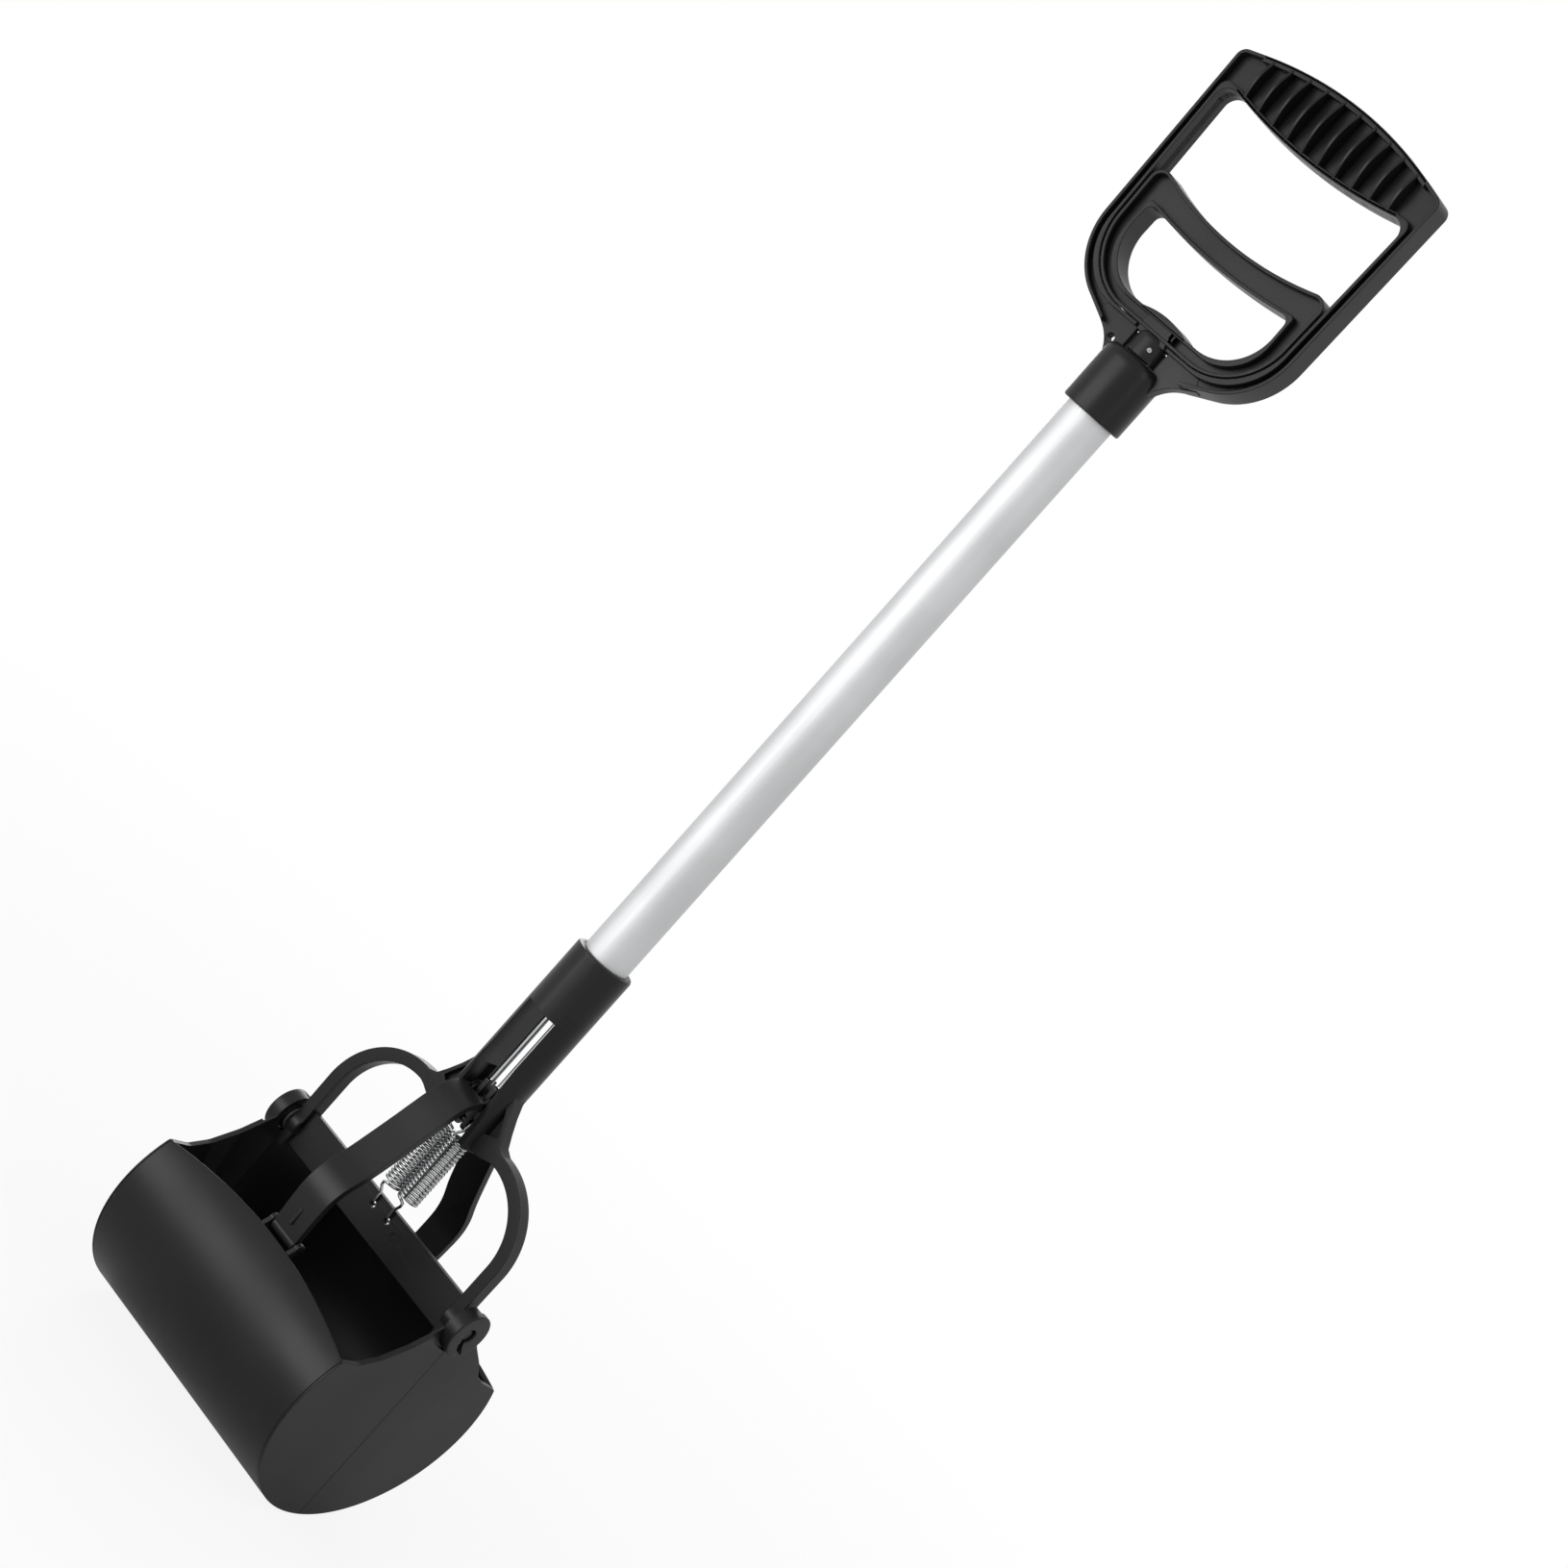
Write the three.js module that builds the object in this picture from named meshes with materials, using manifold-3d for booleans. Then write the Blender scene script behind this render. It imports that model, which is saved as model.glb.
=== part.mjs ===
import * as THREE from 'three';
import { mergeVertices } from 'three/addons/utils/BufferGeometryUtils.js';
import Module from 'manifold-3d';

const wasm = await Module();
wasm.setup();

// Millimetres, +Z up. The origin is the middle of the grip, the front is -Y.

// Clearances, and how far cutting solids run past what they cut
const touchGap = 0.3;
const seamGap = 0.25;
const overcut = 1;
const farReach = 100;

// Everything at the lower end is placed from the jaws' hinge, so this sets the tool's length
const hingeZ = -586;
const rise = {
  tube: 124, rod: 75.2, footTop: 77.5, footBottom: 53.8, rodPivot: 69, springPin: 57.5, coilTop: 50.8,
  neckWall: 51, springBay: 81, wingFoot: 51.6, loopTop: 61, crossbarTop: 9.6, springHole: 4,
  plateTop: 2, armMiddle: 30,
};
const drop = { crossbarBottom: 8.5, tongue: 11.4, jawCentre: 50.5, plateStep: 4.4, plateCorner: 7.3 };
const neckEdgeRise = [[15.2, 108], [12, 101], [11, 88], [9.8, 76], [8.4, 63], [7.6, 51]];
const wingRise = [
  [8.5, 90], [13.2, 90], [13.2, 83.5], [14.3, 79], [16.6, 73.5], [19.9, 67.3], [22.9, 62.4],
];
const wingPocketRise = [[13, 75.8], [14.9, 72.7], [18.1, 66.7], [19.4, 64.2], [13, 60.6]];
const armTopRise = [
  [41, 25.6], [32, 42.8], [24.2, 59.2], [19.2, 67.2], [12.5, 70.8], [6, 71.1], [0, 71],
];
const fromHinge = (points) => points.map(([side, height]) => [side, hingeZ + height]);

// Hand frame: corners are [x, z, rounding radius] for the right half, from the bottom up
const frameDepth = 12.3;
const frameCorners = [[54.6, -98.5, 33], [57.2, 5.6, 4.5]];
const frameTop = [0, 21.36, 173];
const windowCorners = [[49.2, -103.6, 29.8], [52.3, -8.2, 6]];
const windowTop = [0, -18.4, 230];
const webTopZ = -116.5;
const webRadius = 17;
const webFootDrop = 21;
const rimWidth = 1.5;
const grooveDepth = 4.5;
const grooveEndX = 16;
const grooveEndZ = -94;
const gripPocketHalfWidth = 44;
const gripPocketWall = 1.5;
const gripTopRim = 2.5;
const gripBottomRim = 1.8;
const gripWebThickness = 2.4;
const gripFloorZ = -30;
const ribPitch = 9.1;
const ribCount = 10;
const ribThickness = 1.2;
const ribBulge = 3.9;
const ribBulgeReach = 62;
const ribSteps = 6;
const ribInset = 0.9;
const webHole = [-13, -115.6, 1.6];

// Upper collar, stem opening
const collarRadius = 14.15;
const upperCollarTop = -114.4;
const upperCollarBottom = -143.5;
const stemSlotHalfWidth = 9.2;
const stemSlotRoof = -100;
const stemSlotFloor = -118;
const stemThroatHalfDepth = 4.6;

// Squeeze ring with its stem
const triggerCorners = [[48.4, -103.3, 29], [49.9, -48.9, 5.5]];
const triggerTop = [0, -61.8, 155];
const fingerCorners = [[41.6, -96.8, 22], [41, -64.4, 3.5]];
const fingerTop = [0, -70.2, 256];
const triggerGrooveDepth = 4.2;
const bumpHalfWidth = 13;
const bumpHeight = 1.8;
const bumpRounding = 40;
const stemHalfWidth = 8;
const stemBlockBottom = -113.9;
const stemHoleZ = -109.6;
const stemHoleRadius = 1.2;
const neckHalfWidth = 7;
const neckHalfDepth = 4;
const neckBottom = -138;
const stemPinZ = -105.9;
const stemPinRadius = 1.25;
const stemPinHalfLength = 8.9;

// Tube and rod guides
const tubeRadius = 11;
const tubeWall = 1.2;
const tubeTop = -117.5;
const tubeBottom = hingeZ + rise.tube;
const guideHeight = 6;
const upperGuideZ = -230;
const lowerGuideZ = tubeBottom + 22;

// Pull rods with flat feet
const rodX = 2.75;
const rodRadius = 1.8;
const rodTop = -116;
const rodBottom = hingeZ + rise.rod;
const footTop = hingeZ + rise.footTop;
const footBottom = hingeZ + rise.footBottom;
const footHalfDepth = 3;
const footTopRounding = 1;
const footBottomRounding = 2.6;
const footInnerX = 1.5;
const footOuterX = 4;

// Jaws: half width, wall, and the round profile's centre and reaches
const jawHalfWidth = 65.3;
const jawWall = 2.5;
const jawCentreZ = hingeZ - drop.jawCentre;
const jawReachY = 64.5;
const jawReachZ = 54.3;
const jawSteps = 24;
const jawTopAngle = 0.72;
const rimMiddleZ = jawCentreZ + 0.5838 * jawReachZ;
const rimDrop = 7.7;
const rimSteps = 16;
const frontSlope = { startY: 7, y: 27.5, drop: 12.3, radius: 30 };
const backSlope = { startY: 9, y: 30, drop: 8.6, radius: 14 };

// Lower housing: windowed neck, wings, yoke loops, bosses and crossbar
const lowerCollarTop = tubeBottom + 23;
const lowerCollarFloor = tubeBottom - touchGap;
const neckTop = tubeBottom - 8;
const channelHalfWidth = 8.5;
const neckWallBottom = hingeZ + rise.neckWall;
const neckEdge = fromHinge(neckEdgeRise);
const springBayHalfWidth = 10.8;
const springBayHalfDepth = 5.6;
const springBayTop = hingeZ + rise.springBay;
const wingPoints = fromHinge(wingRise);
const wingFoot = [14, hingeZ + rise.wingFoot];
const wingPocket = fromHinge(wingPocketRise);
const wingWebThickness = 2.4;
const washerThickness = 1;
const bossWidth = 5.6;
const bossOuterX = jawHalfWidth - jawWall - washerThickness - 2 * touchGap;
const bossInnerX = bossOuterX - bossWidth;
const loopTopZ = hingeZ + rise.loopTop;
const loopOuterRadius = 35;
const loopCentre = [bossOuterX + touchGap - loopOuterRadius, loopTopZ - loopOuterRadius];
const loopBar = 5.9;
const loopHalfDepth = 4;
const loopSteps = 20;
const tongueTip = [[bossOuterX - 1, hingeZ - drop.tongue], [bossInnerX + 1, hingeZ - drop.tongue]];
const bossRadius = 5.5;
const crossbarTop = hingeZ + rise.crossbarTop;
const crossbarBottom = hingeZ - drop.crossbarBottom;
const crossbarHalfDepth = 1.5;
const springHoleZ = hingeZ + rise.springHole;
const springHoleRadius = 1.6;
const crossbarMark = [13.5, hingeZ + 1.4, 2.4];
const crossbarMarkDepth = 0.3;

// Hinge of the jaws
const lugInnerX = jawHalfWidth + touchGap + 0.1;
const lugThickness = 3.8;
const lugOuterX = lugInnerX + lugThickness;
const hingePinRadius = 2.4;
const hingePinInnerX = bossInnerX + 1.2;
const hingePinOuterX = lugOuterX - 1.2;
const washerRadius = 6;
const earRadius = 7;
const lugRadius = 10.8;
const snapSlot = [
  [-2.15, -1.5], [-2.2, -4.8], [-0.1, -7.55], [3.9, -11.85], [5.3, -10.55], [1.3, -6.25], [-0.4, -4.1],
  [-0.25, -1.5],
];
const lugRecess = [
  [-15.6, -1.5], [-13.6, -7.2], [-12.6, -8.2], [-9.1, -9.6], [-5.5, -10.8], [-2.1, -11.6], [-0.6, -12],
  [-0.6, 0], [-8, 4],
];
const lugRecessDepth = 1.4;

// Link arms, measured down one side: [distance from the middle, z]
const rimPivotInset = 2.634;
const rimPivotRise = 2.2;
const rimPivot = [wallReach(rimMiddleZ, jawWall) - rimPivotInset, rimMiddleZ + rimPivotRise];
const armFoot = [[2.5, 1], [3.7, 13.6], [3.8, 23.6], [1.1, 32]];
const armTop = fromHinge(armTopRise);
const armPath = [...armFoot.map(([y, z]) => [rimPivot[0] + y, rimPivot[1] + z]), ...armTop];
const armSteps = 30;
const armThickness = 3.5;
const armMiddleHalfWidth = 8.4;
const armEndHalfWidth = 7.5;
const armMiddleZ = hingeZ + rise.armMiddle;
const armShoulder = 0.2;
const armEndRun = 8;
const armBarrelRadius = 2.7;
const rimPinRadius = 1.2;
const rimPinHalfLength = 10.6;
const cheekInnerX = 8;
const cheekOuterX = 10.2;
const cheekFoot = [rimMiddleZ - 3.7, rimMiddleZ - 7.2].map((z) => [wallReach(z, jawWall / 2), z]);
const rodPivotZ = hingeZ + rise.rodPivot;
const forkReach = 8.6;
const forkRun = 9;
const eyeHalfDepth = 5;
const eyeHalfHeight = 4.6;
const eyeSlotReach = [-3.5, 2.3];
const eyeSlotRise = [-1.65, 2.75];
const eyeSlotRounding = 1.5;
const frontForkX = [5.9, 7.1];
const backForkX = [4.3, 5.6];
const pivotPinRadius = 1.25;
const pivotPinHalfLength = 8.2;
const pivotHeadX = 7.5;
const pivotHeadRadius = 2.2;
const springPinZ = hingeZ + rise.springPin;
const springPinHalfLength = 7.3;
const springHeadX = 6.4;

// Springs
const springX = 5.2;
const coilRadius = 4.3;
const wireRadius = 0.7;
const coilTop = hingeZ + rise.coilTop;
const coilTurns = 14;
const coilPitch = 2.5;
const stepsPerTurn = 8;
const wireSides = 5;
const hookRadius = 2.4;
const hookSteps = 5;
const hookEnd = { spread: 3.7, rise: 2 };
const hookLeg = { spread: 3.3, rise: 4 };
const hookBend = { side: 1.2, spread: 3.75, rise: 2.1 };
const lead = { side: 1.7, inset: 0.35, rise: 0.9 };
const leadBend = { side: 1.6, inset: 0.9, rise: 2.6 };
const lowerLegDrop = 5.4;
const lowerBend = [[0.6, 0.3], [1.9, 0]];
const lowerLegRise = 1.5;
const springLegY = 2.7;
const springTailY = 3.6;

const plastic = new THREE.MeshStandardMaterial({ color: 0x1b1c1e, roughness: 0.5 });
const steel = new THREE.MeshStandardMaterial({ color: 0xb9bdc2, roughness: 0.3, metalness: 1 });
const aluminium = new THREE.MeshStandardMaterial({ color: 0xcfd2d5, roughness: 0.35, metalness: 1 });
const nylon = new THREE.MeshStandardMaterial({ color: 0x3a3c40, roughness: 0.6 });

const group = new THREE.Group();

function toSolid(geometry) {
  const bare = geometry.clone();
  bare.deleteAttribute('normal');
  bare.deleteAttribute('uv');
  const merged = mergeVertices(bare, 1e-4);
  const vertProperties = new Float32Array(merged.attributes.position.array);
  const triVerts = new Uint32Array(merged.index.array);
  return new wasm.Manifold(new wasm.Mesh({ numProp: 3, vertProperties, triVerts }));
}

function toGeometry(solid) {
  const mesh = solid.getMesh();
  const geometry = new THREE.BufferGeometry();
  const positions = new Float32Array(mesh.vertProperties);
  geometry.setAttribute('position', new THREE.BufferAttribute(positions, 3));
  geometry.setIndex(new THREE.BufferAttribute(new Uint32Array(mesh.triVerts), 1));
  geometry.computeVertexNormals();
  return geometry;
}

function addNode(name, shape, material) {
  const geometry = shape.isBufferGeometry ? shape : toGeometry(shape);
  const mesh = new THREE.Mesh(geometry, material);
  mesh.name = name;
  group.add(mesh);
}

// A flat outline pushed out between two depths; axes say which way each drawing direction points
function extrude(points, from, to, axes) {
  const shape = new THREE.Shape(points.map(([a, b]) => new THREE.Vector2(a, b)));
  const geometry = new THREE.ExtrudeGeometry(shape, { depth: to - from, bevelEnabled: false });
  geometry.translate(0, 0, from);
  geometry.applyMatrix4(new THREE.Matrix4().makeBasis(...axes));
  return toSolid(geometry);
}

const unitX = new THREE.Vector3(1, 0, 0);
const unitY = new THREE.Vector3(0, 1, 0);
const unitZ = new THREE.Vector3(0, 0, 1);
const backward = new THREE.Vector3(0, -1, 0);

// Outline in (x, z), pushed along y
function alongY(points, y0, y1) {
  return extrude(points, -y1, -y0, [unitX, unitZ, backward]);
}

// Outline in (y, z), pushed along x
function alongX(points, x0, x1) {
  return extrude(points, x0, x1, [unitY, unitZ, unitX]);
}

function box(x0, x1, y0, y1, z0, z1) {
  const geometry = new THREE.BoxGeometry(x1 - x0, y1 - y0, z1 - z0);
  geometry.translate((x0 + x1) / 2, (y0 + y1) / 2, (z0 + z1) / 2);
  return toSolid(geometry);
}

function rodAlongX(radius, x0, x1, y, z, segments = 20) {
  const geometry = new THREE.CylinderGeometry(radius, radius, x1 - x0, segments);
  geometry.rotateZ(Math.PI / 2);
  geometry.translate((x0 + x1) / 2, y, z);
  return toSolid(geometry);
}

function rodAlongY(radius, x, z, reach, segments = 16) {
  const geometry = new THREE.CylinderGeometry(radius, radius, 2 * reach, segments);
  geometry.translate(x, 0, z);
  return toSolid(geometry);
}

function rodAlongZ(radius, x, z0, z1, segments = 16) {
  const geometry = new THREE.CylinderGeometry(radius, radius, z1 - z0, segments);
  geometry.rotateX(Math.PI / 2);
  geometry.translate(x, 0, (z0 + z1) / 2);
  return toSolid(geometry);
}

// Limits a and b on one side of the middle plane, the lower one first
function limits(side, a, b) {
  return side > 0 ? [a, b] : [-b, -a];
}

// Distance from the middle to a jaw's round wall at one height, some depth under its skin
function wallReach(z, depth) {
  const slope = (z - jawCentreZ) / (jawReachZ - depth);
  return (jawReachY - depth) * Math.sqrt(1 - slope * slope);
}

// Height of the middle of the arc that rounds a corner on the middle line
function arcMiddle([, z, radius], neighbour) {
  const drop = neighbour[1] - z;
  const half = Math.acos(Math.abs(drop) / Math.hypot(neighbour[0], drop));
  return z + Math.sign(drop) * (radius / Math.sin(half) - radius);
}

// Moves every edge of a counter-clockwise corner list inward, and keeps the roundings parallel
function inset(corners, distance) {
  const count = corners.length;
  return corners.map((corner, i) => {
    const before = corners[(i + count - 1) % count];
    const after = corners[(i + 1) % count];
    const inA = new THREE.Vector2(corner[0] - before[0], corner[1] - before[1]).normalize();
    const inB = new THREE.Vector2(after[0] - corner[0], after[1] - corner[1]).normalize();
    const turn = inA.x * inB.y - inA.y * inB.x;
    const spread = distance / (1 + inA.dot(inB));
    const x = corner[0] + spread * (-inA.y - inB.y);
    const z = corner[1] + spread * (inA.x + inB.x);
    const radius = corner[2] === 0 ? 0 : Math.max(0.2, corner[2] - Math.sign(turn) * distance);
    return [x, z, radius];
  });
}

// Replaces each corner with an arc of its radius
function rounded(corners, chordError = 0.1) {
  const points = [];
  const count = corners.length;
  corners.forEach((corner, i) => {
    const radius = corner[2];
    if (radius === 0) {
      points.push([corner[0], corner[1]]);
      return;
    }
    const here = new THREE.Vector2(corner[0], corner[1]);
    const before = corners[(i + count - 1) % count];
    const after = corners[(i + 1) % count];
    const toBefore = new THREE.Vector2(before[0], before[1]).sub(here).normalize();
    const toAfter = new THREE.Vector2(after[0], after[1]).sub(here).normalize();
    const half = Math.acos(THREE.MathUtils.clamp(toBefore.dot(toAfter), -1, 1)) / 2;
    const tangent = radius / Math.tan(half);
    const middle = toBefore.clone().add(toAfter).normalize().multiplyScalar(radius / Math.sin(half));
    const centre = here.clone().add(middle);
    const start = here.clone().addScaledVector(toBefore, tangent).sub(centre);
    const end = here.clone().addScaledVector(toAfter, tangent).sub(centre);
    const sweep = Math.atan2(start.x * end.y - start.y * end.x, start.dot(end));
    const steps = Math.max(2, Math.ceil(Math.abs(sweep) / (2 * Math.acos(1 - chordError / radius))));
    for (let k = 0; k <= steps; k += 1) {
      const arm = start.clone().rotateAround(new THREE.Vector2(), (sweep * k) / steps);
      points.push([centre.x + arm.x, centre.y + arm.y]);
    }
  });
  return points;
}

// Right-half corners, plus one on the middle line, become a closed counter-clockwise list
function mirrored(right, top) {
  const left = right.map(([x, z, r]) => [-x, z, r]).reverse();
  return [...right, top, ...left];
}

function circle(y, z, radius, steps) {
  const points = [];
  for (let k = 0; k < steps; k += 1) {
    const angle = (2 * Math.PI * k) / steps;
    points.push([y + radius * Math.cos(angle), z + radius * Math.sin(angle)]);
  }
  return points;
}

function ellipse(y, z, reachY, reachZ, steps) {
  return circle(0, 0, 1, steps).map(([a, b]) => [y + reachY * a, z + reachZ * b]);
}

function frameOutline() {
  const webX = Math.sqrt(collarRadius ** 2 - (frameDepth / 2) ** 2);
  const webFoot = [webX, upperCollarTop - webFootDrop, 0];
  const webTop = [webX, webTopZ, webRadius];
  return mirrored([webFoot, webTop, ...frameCorners], frameTop);
}

// Front and back channels between the outer and inner rims
function frameGrooves() {
  const depth = frameDepth / 2;
  const outer = rounded(inset(frameOutline(), rimWidth));
  const inner = rounded(inset(mirrored(windowCorners, windowTop), -rimWidth));
  const keepOut = gripPocketHalfWidth + gripPocketWall;
  const grip = box(-keepOut, keepOut, -depth, depth, gripFloorZ, farReach);
  const foot = box(-grooveEndX, grooveEndX, -depth, depth, upperCollarBottom, grooveEndZ);
  const both = alongY(outer, -depth, depth).subtract(alongY(inner, -depth, depth));
  const core = depth - grooveDepth;
  const middle = box(-farReach, farReach, -core, core, upperCollarBottom, farReach);
  return both.subtract(grip).subtract(foot).subtract(middle);
}

function gripPockets() {
  const depth = frameDepth / 2 + touchGap;
  const outer = rounded(inset(frameOutline(), gripTopRim));
  const inner = rounded(inset(mirrored(windowCorners, windowTop), -gripBottomRim));
  const half = gripPocketHalfWidth;
  const limit = box(-half, half, -depth, depth, gripFloorZ, farReach);
  const web = gripWebThickness / 2;
  const middle = box(-half, half, -web, web, gripFloorZ, farReach);
  const body = alongY(outer, -depth, depth).subtract(alongY(inner, -depth, depth));
  return body.intersect(limit).subtract(middle);
}

// One grip rib: a lens between the two rims that swells past the faces of the frame
function gripRib(x) {
  const floorZ = arcMiddle(windowTop, windowCorners[1]);
  const roofZ = arcMiddle(frameTop, frameCorners[1]);
  const low = floorZ + x * x / (2 * windowTop[2]) + ribInset;
  const high = roofZ - x * x / (2 * frameTop[2]) - ribInset;
  const swell = ribBulge * (1 - (x / ribBulgeReach) ** 2);
  const points = [];
  for (let k = 0; k <= ribSteps; k += 1) {
    const t = k / ribSteps;
    points.push([frameDepth / 2 + swell * Math.sin(Math.PI * t), low + (high - low) * t]);
  }
  for (let k = ribSteps; k >= 0; k -= 1) {
    points.push([-points[k][0], points[k][1]]);
  }
  return alongX(points, x - ribThickness / 2, x + ribThickness / 2);
}

function handleFrame() {
  const depth = frameDepth / 2;
  const reach = depth + touchGap;
  const window = rounded(mirrored(windowCorners, windowTop));
  let body = alongY(rounded(frameOutline()), -depth, depth);
  body = body.subtract(frameGrooves()).subtract(gripPockets());
  for (let i = 0; i < ribCount; i += 1) {
    body = body.add(gripRib((i - (ribCount - 1) / 2) * ribPitch));
  }
  body = body.subtract(alongY(window, -reach, reach));
  body = body.add(rodAlongZ(collarRadius, 0, upperCollarBottom, upperCollarTop, 48));
  const bore = tubeRadius + touchGap;
  body = body.subtract(rodAlongZ(bore, 0, upperCollarBottom - overcut, tubeTop + touchGap, 40));
  const slot = stemSlotHalfWidth;
  body = body.subtract(box(-slot, slot, -reach, reach, upperCollarTop, stemSlotRoof));
  const throat = stemThroatHalfDepth;
  body = body.subtract(box(-slot, slot, -throat, throat, stemSlotFloor, upperCollarTop + overcut));
  return body.subtract(rodAlongY(webHole[2], webHole[0], webHole[1], reach));
}

function squeezeRing() {
  const depth = frameDepth / 2;
  const core = depth - triggerGrooveDepth;
  const ring = mirrored(triggerCorners, triggerTop);
  const fingers = mirrored(fingerCorners, fingerTop);
  let body = alongY(rounded(ring), -depth, depth);
  const floorZ = fingerCorners[0][1];
  const stem = stemHalfWidth;
  const channel = alongY(rounded(inset(ring, rimWidth)), -depth, depth)
    .subtract(alongY(rounded(inset(fingers, -rimWidth)), -depth, depth))
    .subtract(box(-stem, stem, -depth, depth, stemBlockBottom, floorZ))
    .subtract(box(-farReach, farReach, -core, core, stemBlockBottom, 0));
  body = body.subtract(channel);
  body = body.subtract(alongY(rounded(fingers), -depth - overcut, depth + overcut));
  const bumpTop = [0, floorZ + 2 * bumpHeight, bumpRounding];
  const bump = mirrored([[bumpHalfWidth, floorZ - overcut, 0], [bumpHalfWidth, floorZ, 0]], bumpTop);
  body = body.add(alongY(rounded(bump), -depth, depth));
  body = body.add(box(-stem, stem, -depth, depth, stemBlockBottom, floorZ - overcut));
  const neck = box(-neckHalfWidth, neckHalfWidth, -neckHalfDepth, neckHalfDepth, neckBottom, stemHoleZ);
  body = body.add(neck);
  const holeRadius = rodRadius + touchGap;
  for (const x of [-rodX, rodX]) {
    body = body.subtract(rodAlongZ(holeRadius, x, neckBottom - overcut, rodTop + touchGap));
  }
  body = body.subtract(rodAlongY(stemHoleRadius, 0, stemHoleZ, depth + overcut));
  const pinHole = stemPinRadius + touchGap;
  return body.subtract(rodAlongX(pinHole, -stem - overcut, stem + overcut, 0, stemPinZ));
}

function tube() {
  const outer = rodAlongZ(tubeRadius, 0, tubeBottom, tubeTop, 40);
  const inner = tubeRadius - tubeWall;
  return outer.subtract(rodAlongZ(inner, 0, tubeBottom - overcut, tubeTop + overcut, 40));
}

function rodGuide(z) {
  let body = rodAlongZ(tubeRadius - tubeWall - touchGap, 0, z, z + guideHeight, 32);
  for (const x of [-rodX, rodX]) {
    const hole = rodAlongZ(rodRadius + touchGap, x, z - overcut, z + guideHeight + overcut);
    body = body.subtract(hole);
  }
  return body;
}

function pullRod(side) {
  const [x0, x1] = limits(side, footInnerX, footOuterX);
  const rod = rodAlongZ(rodRadius, side * rodX, rodBottom, rodTop);
  const foot = rounded([
    [footHalfDepth, footTop, footTopRounding],
    [-footHalfDepth, footTop, footTopRounding],
    [-footHalfDepth, footBottom, footBottomRounding],
    [footHalfDepth, footBottom, footBottomRounding],
  ]);
  const hole = pivotPinRadius + touchGap;
  return rod.add(alongX(foot, x0, x1))
    .subtract(rodAlongX(hole, x0 - overcut, x1 + overcut, 0, rodPivotZ))
    .subtract(rodAlongX(hole, x0 - overcut, x1 + overcut, 0, springPinZ));
}

// One side of the yoke: wing, loop and leg down to the tongue
function yokeSide(side) {
  const points = [...wingPoints];
  const inner = [];
  for (let k = 0; k <= loopSteps; k += 1) {
    const angle = (Math.PI / 2) * (1 - k / loopSteps);
    const ray = [Math.cos(angle), Math.sin(angle)];
    const small = loopOuterRadius - loopBar;
    const [x, z] = loopCentre;
    points.push([x + loopOuterRadius * ray[0], z + loopOuterRadius * ray[1]]);
    inner.unshift([x + small * ray[0], z + small * ray[1]]);
  }
  points.push([bossOuterX, hingeZ], ...tongueTip, [bossInnerX, hingeZ]);
  points.push(...inner, wingFoot, [channelHalfWidth, wingFoot[1]]);
  const onHalf = (outline) => outline.map(([x, z]) => [side * x, z]);
  const web = wingWebThickness / 2;
  const pocket = alongY(onHalf(wingPocket), -loopHalfDepth - overcut, loopHalfDepth + overcut)
    .subtract(alongY(onHalf(wingPocket), -web, web));
  return alongY(onHalf(points), -loopHalfDepth, loopHalfDepth).subtract(pocket);
}

// Everything behind the neck's front edges and before its back edges, which draw in lower down
function neckLimit() {
  const front = neckEdge.map(([y, z]) => [-y, z]);
  const back = neckEdge.map(([y, z]) => [y, z]).reverse();
  const [widest] = neckEdge[0];
  const roof = lowerCollarTop + overcut;
  return alongX([[-widest, roof], ...front, ...back, [widest, roof]], -farReach, farReach);
}

function lowerHousing() {
  let body = rodAlongZ(collarRadius, 0, neckWallBottom, lowerCollarTop, 48);
  const reach = collarRadius + overcut;
  const half = channelHalfWidth;
  body = body.subtract(box(-half, half, -reach, reach, neckWallBottom - overcut, neckTop));
  body = body.intersect(neckLimit());
  for (const side of [-1, 1]) {
    const [x0, x1] = limits(side, bossInnerX, bossOuterX);
    body = body.add(yokeSide(side)).add(rodAlongX(bossRadius, x0, x1, 0, hingeZ, 28));
  }
  const bay = springBayHalfWidth;
  const bayDepth = springBayHalfDepth;
  const bayFloor = neckWallBottom - 2 * overcut;
  body = body.subtract(box(-bay, bay, -bayDepth, bayDepth, bayFloor, springBayTop));
  const bar = bossInnerX + overcut;
  body = body.add(box(-bar, bar, -crossbarHalfDepth, crossbarHalfDepth, crossbarBottom, crossbarTop));
  for (const side of [-1, 1]) {
    const [x0, x1] = limits(side, hingePinInnerX - touchGap, bossOuterX + overcut);
    const hole = hingePinRadius + touchGap;
    body = body.subtract(rodAlongX(hole, x0, x1, 0, hingeZ, 24));
    body = body.subtract(rodAlongY(springHoleRadius, side * springX, springHoleZ, loopHalfDepth));
  }
  const bore = tubeRadius + touchGap;
  body = body.subtract(rodAlongZ(bore, 0, lowerCollarFloor, lowerCollarTop + overcut, 40));
  const passage = rodRadius + 2 * touchGap;
  const low = neckTop - overcut;
  const high = lowerCollarFloor + overcut;
  const oblong = rodAlongZ(passage, -rodX, low, high)
    .add(rodAlongZ(passage, rodX, low, high))
    .add(box(-rodX, rodX, -passage, passage, low, high));
  const [markX, markZ, markRadius] = crossbarMark;
  const markFloor = crossbarMarkDepth - crossbarHalfDepth;
  const mark = rodAlongY(markRadius, markX, markZ, farReach)
    .subtract(box(-farReach, farReach, markFloor, 2 * farReach, crossbarBottom, crossbarTop));
  return body.subtract(oblong).subtract(mark);
}

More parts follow.
